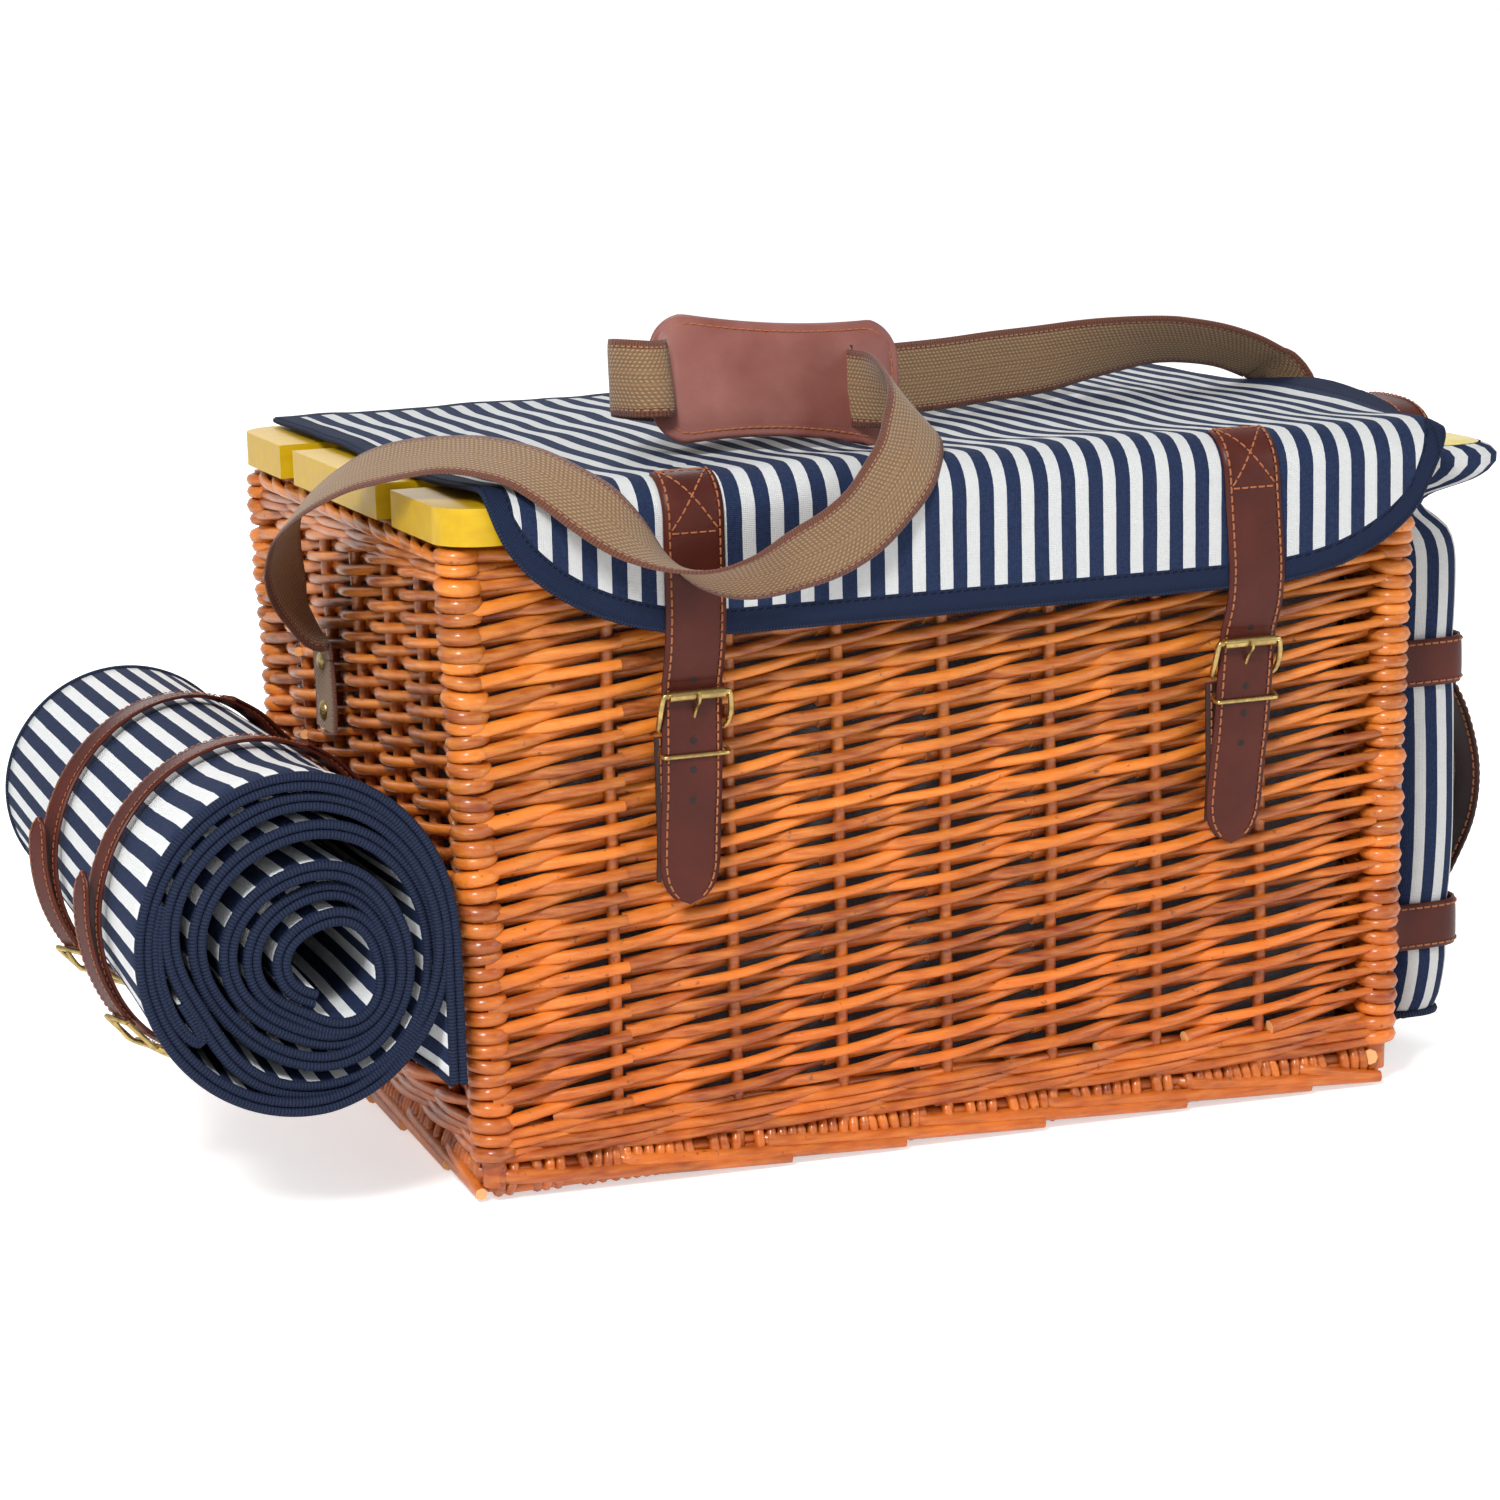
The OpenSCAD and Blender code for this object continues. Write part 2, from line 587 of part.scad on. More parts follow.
// ---- Cooler bag and its harness ----
bag_hi = bag_lo + [bag_t, bag_w, bag_h];
module bag_block(inset, z0, z1, r) {
    translate([bag_lo[0] + bag_t / 2, bag_lo[1] + bag_w / 2, z0]) linear_extrude(z1 - z0)
        rounded_rect(bag_t - 2 * inset, bag_w - 2 * inset, r);
}
module bag_body() {
    color([0.80, 0.81, 0.84]) difference() {
        bag_block(0, bag_lo[2], bag_hi[2], 12);
        bag_block(bag_wall, bag_lo[2] + bag_wall, bag_hi[2] + 1, 7);
    }
}
lining_gap = 0.2;
module bag_lining() {
    inset = bag_wall + lining_gap;
    color([0.93, 0.87, 0.55]) difference() {
        bag_block(inset, bag_lo[2] + inset, bag_hi[2], 6.8);
        bag_block(inset + 1.5, bag_lo[2] + inset + 1.5, bag_hi[2] + 1, 5.3);
    }
}
// Soft collar that flops outwards above the mouth
collar_h = 30;
collar_out = 336;
module collar_outline(inset) {
    polygon([[bag_lo[0] + inset, bag_lo[1] + inset], [bag_hi[0] + 4, bag_lo[1] + inset],
             [collar_out - inset, bag_lo[1] + 20], [collar_out - inset, bag_hi[1] - 20],
             [bag_hi[0] + 4, bag_hi[1] - inset], [bag_lo[0] + inset, bag_hi[1] - inset]]);
}
module bag_collar() {
    color([0.80, 0.81, 0.84]) translate([0, 0, bag_hi[2] + gap]) difference() {
        linear_extrude(collar_h) collar_outline(0);
        translate([0, 0, -1]) linear_extrude(collar_h + 2) difference() {
            collar_outline(6.5);
            translate([bag_hi[0] - 6, -300]) square([100, 600]);
        }
    }
}
// Leather carry handle standing over the outer edge of the collar
handle_x = 303;
handle_w = 18;
handle_y = [-112, -28];
handle_top = bag_hi[2] + collar_h + 18;
module bag_handle() {
    foot_z = bag_hi[2] + collar_h + 2 * gap;
    p = [[handle_y[0], foot_z], [handle_y[0] + 4, handle_top - 9], [handle_y[0] + 14, handle_top - 2],
         [handle_y[0] + 28, handle_top], [handle_y[1] - 28, handle_top],
         [handle_y[1] - 14, handle_top - 2], [handle_y[1] - 4, handle_top - 9], [handle_y[1], foot_z]];
    color(brown_c * 1.2) across_x(handle_x, handle_w) flat_band(p, leather_t);
}
// U-shaped leather band round the bag with a flange riveted to the wicker at each end
module harness_band(z, wall_x) {
    in = 0.6;
    out = in + band_t;
    flange = 14;
    color(brown_c) translate([0, 0, z - band_h / 2]) linear_extrude(band_h) difference() {
        union() {
            translate([wall_x, bag_lo[1] - out])
                square([bag_hi[0] + out - wall_x, bag_w + 2 * out]);
            translate([wall_x, bag_lo[1] - out - flange])
                square([band_t, bag_w + 2 * out + 2 * flange]);
        }
        translate([wall_x - 1, bag_lo[1] - in])
            square([bag_hi[0] + in - wall_x + 1, bag_w + 2 * in]);
    }
}
band_wall_x = [253.2, 257.1];
module harness_band_lower() { harness_band(band_z[0], band_wall_x[0]); }
module harness_band_upper() { harness_band(band_z[1], band_wall_x[1]); }
sling_y = -102;
sling_w = 26;
// Upright sling: hand loop outside the two bands, then under the bag to the foot
module harness_sling() {
    x = bag_hi[0] + 0.6 + band_t + gap + leather_t / 2;
    p = [[x, 240], [x, 222], [x + 5, 205], [x + 15, 180], [x + 21, 150], [x + 18, 122],
         [x + 8, 97], [x, 82], [x, 60], [x, 28], [x - 2, 21], [x - 8, 16.5],
         [x - 16, 15.5], [254, 15.5]];
    color(brown_c * 0.7) translate([0, sling_y + sling_w / 2, 0]) rotate([90, 0, 0])
        linear_extrude(sling_w) flat_band(p, leather_t);
}
module harness_rivets() {
    flange_y = [bag_lo[1] - 0.6 - band_t - 7, bag_hi[1] + 0.6 + band_t + 7];
    color(brass_c) for (i = [0, 1], y = flange_y)
        translate([band_wall_x[i] + band_t, y, band_z[i]]) rotate([0, 90, 0])
            cylinder(h = 1.6, r1 = 4.5, r2 = 3.5);
}

front_wall();
back_wall();
left_wall();
right_wall();
front_stakes();
back_stakes();
left_stakes();
right_stakes();
corner_posts();
foot_border();
rim_border();
base_mat();
base_sticks();
lining();
hinge_leaves_fixed();
hinge_pins();
strap_tab_left();
strap_tab_right();
web_end_left();
web_end_right();
web_rivets_left();
web_rivets_right();
web_leg_left();
web_leg_right();
blanket_belt_front();
blanket_belt_back();
belt_buckles();
harness_band_upper();
harness_band_lower();
harness_sling();
harness_rivets();
front_plank();
middle_plank();
back_plank();
battens();
batten_screws();
hinge_leaves_moving();
hinge_screws();
canvas_cover();
cover_margin();
strap_left();
strap_right();
buckle_frame_left();
buckle_frame_right();
shoulder_pad();
web_pad_run();
web_front();
web_rear();
buckle_roller_left();
buckle_roller_right();
buckle_prong_left();
buckle_prong_right();
blanket_roll();
bag_body();
bag_lining();
bag_collar();
bag_handle();
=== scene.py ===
"""Looks of the picnic hamper: wicker, planks, canvas, leather, webbing, blanket roll and bag.

Lengths are in millimetres until a mesh is made, where MM turns them into Blender's metres.
"""
import math
import random

import bpy
import numpy as np
from mathutils import Matrix, Vector, noise


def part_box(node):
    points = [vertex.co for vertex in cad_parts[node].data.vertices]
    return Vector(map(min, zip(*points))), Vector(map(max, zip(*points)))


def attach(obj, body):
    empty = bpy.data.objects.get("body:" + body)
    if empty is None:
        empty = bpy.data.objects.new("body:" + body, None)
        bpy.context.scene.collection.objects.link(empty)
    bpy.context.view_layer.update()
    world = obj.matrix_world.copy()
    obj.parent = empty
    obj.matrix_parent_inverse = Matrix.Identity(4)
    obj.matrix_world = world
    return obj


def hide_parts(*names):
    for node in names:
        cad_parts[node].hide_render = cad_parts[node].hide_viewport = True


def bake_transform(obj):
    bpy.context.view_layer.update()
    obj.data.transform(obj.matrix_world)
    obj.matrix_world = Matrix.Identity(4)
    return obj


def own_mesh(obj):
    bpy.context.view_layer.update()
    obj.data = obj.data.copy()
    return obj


MM = 0.001
SEED = 11

# Driving sizes, as in the CAD model
FOOT_L, RIM_L = 500.0, 518.0
FOOT_D, RIM_D = 360.0, 374.0
BASKET_H = 325.0
WALL_T = 14.0
POST_R = 8.0
LONG_STAKES = [-178.0, -116.0, -59.0, -2.0, 56.0, 115.0, 174.0]
SHORT_STAKES = [-116.0, -58.0, 0.0, 58.0, 116.0]
COVER_LEFT, COVER_RIGHT = -241.0, 285.0
STRIPE = 14.6
STRAPS = {"left": -141.5, "right": 154.5}
STRAP_W, LEATHER_T = 30.0, 3.0
WEB_W, WEB_T = 38.0, 2.5
ROLL_FRONT = np.array([-341.0, -190.0, 142.0])
ROLL_BACK = np.array([-336.0, 200.0, 150.0])
ROLL_R = (80.0, 68.0)
BELTS = {"front": (-82.0, 20.0), "back": (60.0, 28.0)}
BAG_Y = (-150.0, -2.0)
ALONG_X = (1.0, 0.0, 0.0)
ALONG_Y = (0.0, 1.0, 0.0)
ALONG_Z = (0.0, 0.0, 1.0)

# Shoulder webbing: middle of the band, then the direction across it
LEG_LEFT = [
    (-262, 30, 240, 0, -0.95, -0.3), (-264, 31, 254.5, 0, -0.93, -0.37),
    (-273, 23, 264, -0.26, -0.74, -0.62), (-281, 13, 278, -0.44, -0.57, -0.69),
    (-288, 0, 291, -0.56, -0.46, -0.69), (-293, -15, 304, -0.62, -0.42, -0.67),
    (-295, -31, 315, -0.65, -0.41, -0.64), (-295, -47, 325, -0.69, -0.42, -0.59),
    (-292, -64, 334, -0.7, -0.43, -0.56), (-288, -81, 342, -0.71, -0.46, -0.54),
]
FRONT_RUN = [
    (-281, -98, 350, -0.69, -0.48, -0.53), (-273, -114, 356, -0.7, -0.51, -0.5),
    (-264, -130, 360, -0.71, -0.52, -0.47), (-254, -146, 363, -0.73, -0.54, -0.41),
    (-243, -161, 365, -0.75, -0.56, -0.35), (-231, -176, 364, -0.75, -0.58, -0.31),
    (-218, -190, 360, -0.74, -0.6, -0.3), (-206, -203, 352, -0.72, -0.59, -0.36),
    (-193, -214, 341, -0.68, -0.57, -0.46), (-179, -221, 328, -0.58, -0.73, -0.38),
    (-165, -226, 317, -0.34, -0.93, -0.13), (-149, -229, 309, -0.13, -0.97, 0.22),
    (-131, -229, 306, -0.07, -0.84, 0.54), (-113, -227, 307, -0.13, -0.65, 0.75),
    (-95, -226, 312, -0.25, -0.46, 0.85), (-77, -225, 318, -0.37, -0.3, 0.88),
    (-60, -222, 327, -0.5, -0.17, 0.85), (-46, -216, 338, -0.62, -0.06, 0.79),
    (-33, -209, 350, -0.72, 0.03, 0.7), (-24, -198, 361, -0.77, 0.04, 0.63),
    (-17, -184, 371, -0.73, -0.04, 0.68), (-14, -166, 376, -0.61, -0.09, 0.79),
    (-13, -147, 378, -0.43, -0.07, 0.9), (-15, -132, 378, -0.2, 0.08, 0.98),
    (-20, -118.3, 378, 0, 0.28, 0.96),
]
PAD_RUN = [
    (-26, -108, 378.5, 0, 0.28, 0.96), (-45, -108, 381, 0, 0.28, 0.96),
    (-70, -107.5, 383.5, 0, 0.28, 0.96), (-95, -106.5, 386, 0, 0.28, 0.96),
    (-113, -105.5, 388.5, 0, 0.28, 0.96),
]
REAR_RUN = [
    (-121, -117, 389.5, 0, 0.28, 0.96), (-133, -117, 390, 0, 0.25, 0.97),
    (-142, -101, 390, 0, 0.1, 1), (-138, -87, 388, 0, 0, 1), (-122, -75, 384, 0, 0, 1),
    (-98, -65, 380, 0, 0, 1), (-64, -53, 376, 0, 0, 1), (-31, -41, 373, 0, 0, 1),
    (5, -29, 371, 0, 0, 1), (40, -17, 370, 0, 0, 1), (75, -7, 370, 0, 0, 1),
    (107, 3, 371, 0, -0.05, 1), (142, 12, 372, 0, -0.14, 0.99),
    (177, 19, 375, 0.02, -0.42, 0.9), (213, 22, 377, 0.08, -0.65, 0.75),
    (231, 22, 376, 0.14, -0.73, 0.66), (249, 21, 373, 0.23, -0.78, 0.58),
    (266, 21, 368, 0.33, -0.81, 0.47), (281, 21, 361, 0.41, -0.83, 0.37),
]
LEG_RIGHT = [
    (286.4, 21, 358.5, 0.41, -0.83, 0.37), (295, 22, 351, 0.44, -0.88, 0.18),
    (301.5, 25, 337, 0.47, -0.88, 0.03), (305, 30, 321, 0.42, -0.9, -0.09),
    (305, 36, 304, 0.3, -0.94, -0.15), (300, 43, 288, 0.17, -0.97, -0.15),
    (290, 47, 274, 0.06, -0.99, -0.11), (277, 50, 262, 0, -1, -0.06),
    (264.5, 51, 251, 0, -1, 0), (262, 51, 240, 0, -1, 0),
]

random.seed(SEED)
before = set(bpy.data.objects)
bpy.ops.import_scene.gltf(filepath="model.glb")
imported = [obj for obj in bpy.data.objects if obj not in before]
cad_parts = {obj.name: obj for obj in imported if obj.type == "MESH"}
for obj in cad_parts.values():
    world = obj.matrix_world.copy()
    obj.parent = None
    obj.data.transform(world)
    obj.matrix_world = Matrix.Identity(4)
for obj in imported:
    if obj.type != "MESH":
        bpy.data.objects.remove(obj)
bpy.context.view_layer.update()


# ---- Materials ----
class Shader:
    """Builds one node material."""

    def __init__(self, name, roughness=0.6, **settings):
        self.mat = bpy.data.materials.new(name)
        self.mat.use_nodes = True
        self.tree = self.mat.node_tree
        self.bsdf = self.tree.nodes["Principled BSDF"]
        self.bsdf.inputs["Roughness"].default_value = roughness
        for key, value in settings.items():
            self.bsdf.inputs[key.replace("_", " ")].default_value = value
        self.place = self.tree.nodes.new("ShaderNodeTexCoord").outputs["Object"]

    def put(self, socket, value):
        """Links an output to the socket, or sets a plain value on it."""
        if isinstance(value, bpy.types.NodeSocket):
            self.tree.links.new(value, socket)
        elif isinstance(value, (tuple, list)) and len(value) == 3 and socket.type == "RGBA":
            socket.default_value = (*value, 1)
        else:
            socket.default_value = value

    def math(self, operation, a, b=0.0):
        node = self.tree.nodes.new("ShaderNodeMath")
        node.operation = operation
        self.put(node.inputs[0], a)
        self.put(node.inputs[1], b)
        return node.outputs[0]

    def add(self, a, b):
        return self.math("ADD", a, b)

    def subtract(self, a, b):
        return self.math("SUBTRACT", a, b)

    def multiply(self, a, b):
        return self.math("MULTIPLY", a, b)

    def above(self, value, limit):
        """1 where value is over limit, or else 0."""
        return self.math("GREATER_THAN", value, limit)

    def below(self, value, limit):
        return self.math("LESS_THAN", value, limit)

    def distance(self, value, middle):
        return self.math("ABSOLUTE", self.subtract(value, middle))

    def ripple(self, value, period):
        """A wave between 0 and 1."""
        turns = self.multiply(value, 2 * math.pi / period)
        return self.add(self.multiply(self.math("SINE", turns), 0.5), 0.5)

    def attribute(self, name):
        """The three parts of a per-point vector attribute."""
        source = self.tree.nodes.new("ShaderNodeAttribute")
        source.attribute_name = name
        return self.split(source.outputs["Vector"])

    def split(self, vector):
        """The x, y and z of a vector output."""
        node = self.tree.nodes.new("ShaderNodeSeparateXYZ")
        self.tree.links.new(vector, node.inputs[0])
        return node.outputs

    def vector(self, x, y, z):
        node = self.tree.nodes.new("ShaderNodeCombineXYZ")
        for socket, value in zip(node.inputs, (x, y, z)):
            self.put(socket, value)
        return node.outputs[0]

    def noise(self, scale, detail=3.0, place=None, roughness=0.5):
        node = self.tree.nodes.new("ShaderNodeTexNoise")
        self.put(node.inputs["Vector"], self.place if place is None else place)
        node.inputs["Scale"].default_value = scale
        node.inputs["Detail"].default_value = detail
        node.inputs["Roughness"].default_value = roughness
        return node.outputs["Fac"]

    def stretched(self, x, y, z):
        """Object coordinates scaled differently along each axis, for grain."""
        node = self.tree.nodes.new("ShaderNodeMapping")
        self.put(node.inputs["Vector"], self.place)
        node.inputs["Scale"].default_value = (x, y, z)
        return node.outputs[0]

    def ramp(self, value, low, high, first=0.0, last=1.0):
        """Maps value from low..high to first..last, and holds it outside."""
        node = self.tree.nodes.new("ShaderNodeMapRange")
        self.put(node.inputs["Value"], value)
        for key, number in (("From Min", low), ("From Max", high), ("To Min", first), ("To Max", last)):
            node.inputs[key].default_value = number
        return node.outputs[0]

    def mix(self, factor, a, b, blend="MIX"):
        node = self.tree.nodes.new("ShaderNodeMix")
        node.data_type = "RGBA"
        node.blend_type = blend
        self.put(node.inputs["Factor"], factor)
        self.put(node.inputs[6], a)
        self.put(node.inputs[7], b)
        return node.outputs[2]

    def color(self, value):
        self.put(self.bsdf.inputs["Base Color"], value)

    def rough(self, value):
        self.put(self.bsdf.inputs["Roughness"], value)

    def bump(self, height, distance, strength=1.0, under=None):
        node = self.tree.nodes.new("ShaderNodeBump")
        node.inputs["Distance"].default_value = distance
        node.inputs["Strength"].default_value = strength
        self.put(node.inputs["Height"], height)
        if under is not None:
            self.put(node.inputs["Normal"], under)
        self.put(self.bsdf.inputs["Normal"], node.outputs[0])
        return node.outputs[0]


def tint(color, level):
    """The colour made lighter or darker."""
    return tuple(c * level for c in color)


NAVY = (0.017, 0.029, 0.074)
CREAM = (0.61, 0.62, 0.62)
STITCH_AND_HOLE_SHADE = (0.004, 0.006, 0.02)


def wicker_material():
    """Rods: each has its own tone, with a pale cut end; attribute rod = tone, along, cut."""
    deep, bright, pale_fibre_highlight = (0.22, 0.030, 0.002), (0.71, 0.19, 0.013), (0.90, 0.40, 0.08)
    lower_tint, brown, cut_wood = (0.97, 0.56, 0.36), (0.16, 0.05, 0.015), (0.80, 0.40, 0.15)
    s = Shader("wicker", 0.42, Specular_IOR_Level=0.4, Coat_Weight=0.45, Coat_Roughness=0.13)
    tone, along, cut = s.attribute("rod")
    patches = s.noise(38, 4)
    fibre = s.noise(1, 5, s.stretched(60, 60, 420))
    seeded = s.vector(s.multiply(along, 24.0), s.multiply(tone, 41.0), 0.0)
    streak = s.add(patches, s.noise(1, 3, seeded))
    shade = s.add(tone, s.multiply(s.subtract(streak, 1.0), 1.1))
    base = s.mix(s.ramp(shade, 0.0, 1.0), deep, bright)
    # Pale streaks along the fibres: partly the wood's own paler fibres, partly painted highlight.
    base = s.mix(s.ramp(fibre, 0.35, 0.75, 0.0, 0.4), base, pale_fibre_highlight)
    # The rods are darker and redder towards the bottom.
    low_part = s.ramp(s.split(s.place)[2], 0.05, 0.25, 0.45, 0.0)
    base = s.mix(low_part, base, lower_tint, "MULTIPLY")
    freckle = s.ramp(s.noise(260, 2), 0.68, 0.74, 0.0, 0.7)
    base = s.mix(freckle, base, brown)
    s.color(s.mix(cut, base, cut_wood))
    s.bump(s.add(fibre, s.noise(500, 2)), 0.0005, 0.5)
    return s.mat


def plank_material():
    """Yellow paint over grain, a little worn."""
    s = Shader("plank_paint", 0.38, Specular_IOR_Level=0.35, Coat_Weight=0.12, Coat_Roughness=0.25)
    grain = s.noise(1, 6, s.stretched(14, 160, 160))
    base = s.mix(s.ramp(grain, 0.3, 0.8), (0.55, 0.325, 0.002), (0.65, 0.415, 0.003))
    worn = s.ramp(s.noise(20, 4), 0.66, 0.8, 0.0, 0.25)
    s.color(s.mix(worn, base, (0.62, 0.40, 0.02)))
    s.rough(s.ramp(grain, 0.2, 0.8, 0.34, 0.5))
    s.bump(grain, 0.0006, 0.5)
    return s.mat


def brass_material():
    """Aged brass."""
    s = Shader("brass", 0.3, Metallic=1.0)
    patina = s.noise(220, 4)
    s.color(s.mix(s.ramp(patina, 0.35, 0.7), (0.60, 0.44, 0.16), (0.36, 0.25, 0.10)))
    s.rough(s.ramp(patina, 0.3, 0.7, 0.22, 0.42))
    s.bump(patina, 0.0002, 0.4)
    return s.mat


def leather_material(name, light, dark, roughness=0.42):
    """Smooth vegetable-tanned leather with fine creases."""
    s = Shader(name, roughness, Specular_IOR_Level=0.22, Coat_Weight=0.03, Coat_Roughness=0.25)
    cloud = s.noise(30, 4)
    grain = s.noise(900, 3)
    base = s.mix(s.ramp(cloud, 0.3, 0.75), dark, light)
    s.color(s.mix(s.ramp(grain, 0.5, 0.75, 0.0, 0.25), base, dark))
    s.rough(s.ramp(cloud, 0.3, 0.8, roughness - 0.08, roughness + 0.1))
    s.bump(grain, 0.0004, 0.35)
    return s.mat


def thread_material(name, color):
    """Twisted thread; the same recipe gives the near-black painted shade of holes and slots."""
    s = Shader(name, 0.7)
    s.color(s.mix(s.noise(800, 2), color, tint(color, 0.6)))
    s.bump(s.noise(2500, 2), 0.0003, 0.6)
    return s.mat


def striped_material(name, band, painted_light=1.0):
    """Canvas; attribute cloth = across the stripes, along them, distance from the edge.
    band is the width of the bound edge in metres; painted_light above 1 paints a lighter, lit copy of the
    cream."""
    weave, ribs, dashes = 0.9 * MM, 1.5 * MM, 4.5 * MM
    s = Shader(name, 0.86, Specular_IOR_Level=0.15)
    across, along, edge = s.attribute("cloth")
    wobble = s.multiply(s.subtract(s.noise(60, 2), 0.5), 0.0006)
    place = s.math("FRACT", s.math("DIVIDE", s.add(across, wobble), STRIPE * MM))
    dark = s.above(place, 0.47)
    mottle = s.ramp(s.noise(700, 3), 0.3, 0.7, 0.0, 1.0)
    navy = s.mix(mottle, tint(NAVY, 0.75), tint(NAVY, 1.15))
    # A level over 1 paints the cream lighter, as a lit copy of it: painted light.
    cream = s.mix(mottle, tint(CREAM, 0.94 * painted_light), tint(CREAM, painted_light))
    base = s.mix(dark, cream, navy)
    bound = s.below(edge, band)
    # The ribs are darker in their grooves and lighter on top: painted shade and highlight that follow their
    # bump.
    rib = s.ripple(s.add(along, across), ribs)
    ribbed = s.mix(rib, tint(NAVY, 0.35), tint(NAVY, 0.85))
    # Near-black stitch dashes on the binding: the thread and the painted shade of its holes.
    seam = s.below(s.distance(edge, band * 0.86), 0.0005)
    dash = s.above(s.ripple(s.add(along, across), dashes), 0.4)
    ribbed = s.mix(s.multiply(seam, dash), ribbed, STITCH_AND_HOLE_SHADE)
    s.color(s.mix(bound, base, ribbed))
    fine = s.add(s.ripple(across, weave), s.ripple(along, weave))
    under = s.bump(s.noise(45, 3), 0.0012, 0.3)
    s.bump(s.mix(bound, fine, rib), 0.00025, 0.6, under)
    return s.mat


def grosgrain_material():
    """Ribbed navy binding; attribute band = across, along, side."""
    s = Shader("binding", 0.75, Specular_IOR_Level=0.2)
    rib = s.ripple(s.attribute("band")[1], 1.7 * MM)
    # The ribs are darker in their grooves and lighter on top: painted shade and highlight that follow their
    # bump.
    s.color(s.mix(rib, tint(NAVY, 0.3), tint(NAVY, 0.85)))
    s.bump(rib, 0.0005, 0.7)
    return s.mat


def webbing_material():
    """Khaki twill with stitched brown edges; attribute band = across (-1..1), along, side."""
    s = Shader("webbing", 0.88, Sheen_Weight=0.15)
    across, along, _ = s.attribute("band")
    out = s.math("ABSOLUTE", across)
    metres = s.multiply(across, WEB_W * MM / 2)
    slant = s.add(along, s.multiply(out, 0.012))
    twill = s.multiply(s.ripple(slant, 2.6 * MM), s.ripple(metres, 1.9 * MM))
    # The khaki is darker in the twill's grooves and lighter on its ridges: painted shade and highlight that
    # follow its bump.
    khaki = s.mix(twill, (0.18, 0.100, 0.045), (0.42, 0.275, 0.145))
    rib = s.ramp(s.distance(out, 0.16), 0.03, 0.06, 0.55, 0.0)
    khaki = s.mix(rib, khaki, (0.27, 0.15, 0.07))
    stitch = s.above(s.ripple(along, 3.4 * MM), 0.35)
    brown = s.mix(s.ripple(along, 1.6 * MM), (0.085, 0.026, 0.013), (0.17, 0.056, 0.027))
    edge = s.above(out, 0.77)
    line = s.below(s.distance(out, 0.82), 0.018)
    brown = s.mix(s.multiply(line, stitch), brown, (0.38, 0.20, 0.10))
    s.color(s.mix(edge, khaki, brown))
    s.bump(s.add(twill, s.noise(1500, 2)), 0.0006, 0.7)
    return s.mat


def plain_cloth_material(name, color, roughness=0.85, **settings):
    """Plain weave in one colour."""
    pitch = 1.3 * MM
    s = Shader(name, roughness, **settings)
    s.color(s.mix(s.noise(25, 4), tint(color, 0.78), color))
    x, y, z = s.split(s.place)
    weave = s.add(s.ripple(s.add(x, y), pitch), s.ripple(z, pitch))
    s.bump(s.add(weave, s.noise(60, 3)), 0.0004, 0.5)
    return s.mat


WICKER = wicker_material()
PAINT = plank_material()
BRASS = brass_material()
LEATHER = leather_material("leather", (0.094, 0.018, 0.011), (0.058, 0.011, 0.007))
# The pad's leather is lighter and pinker than the straps': partly its own colour, partly painted sheen.
PAD_LEATHER = leather_material("pad_leather", (0.290, 0.115, 0.096), (0.200, 0.066, 0.052))
DARK_LEATHER = leather_material("leather_dark", (0.060, 0.024, 0.018), (0.028, 0.014, 0.012), 0.5)
THREAD = thread_material("thread_tan", (0.46, 0.15, 0.05))
# Holes and slots are not cut through: a near-black colour paints the shade inside them.
HOLE_SHADE = thread_material("painted_hole_shade", (0.012, 0.006, 0.005))
CANVAS = striped_material("striped_canvas", 11.0 * MM)
# A width below zero leaves the edge unbound; the blanket's 1.28 paints its cream lighter than the cover's, a
# lit copy of the same cream.
BLANKET = striped_material("striped_blanket", -1.0, 1.28)
BAG_CANVAS = striped_material("bag_canvas", -1.0)
BINDING = grosgrain_material()
WEBBING = webbing_material()
LINING = plain_cloth_material("lining_cloth", (0.15, 0.15, 0.165))
YELLOW = plain_cloth_material("bag_lining_foil", (0.80, 0.66, 0.22), 0.55, Sheen_Weight=0.2)


# ---- Mesh helpers ----
def place_in_scene(name, data):
    """A new object with the data, linked to the scene."""
    item = bpy.data.objects.new(name, data)
    bpy.context.scene.collection.objects.link(item)
    return item


def uneven(x, y, z):
    """Smooth noise, about -1 to 1, that makes rods and cloth a little irregular."""
    return noise.noise(Vector((x, y, z)))


def unit(rows):
    """Each row scaled to length 1."""
    return rows / np.linalg.norm(rows, axis=1)[:, None]


def run_length(path):
    """Distance along the path at each of its points."""
    return np.concatenate([[0], np.cumsum(np.linalg.norm(np.diff(path[:, :3], axis=0), axis=1))])


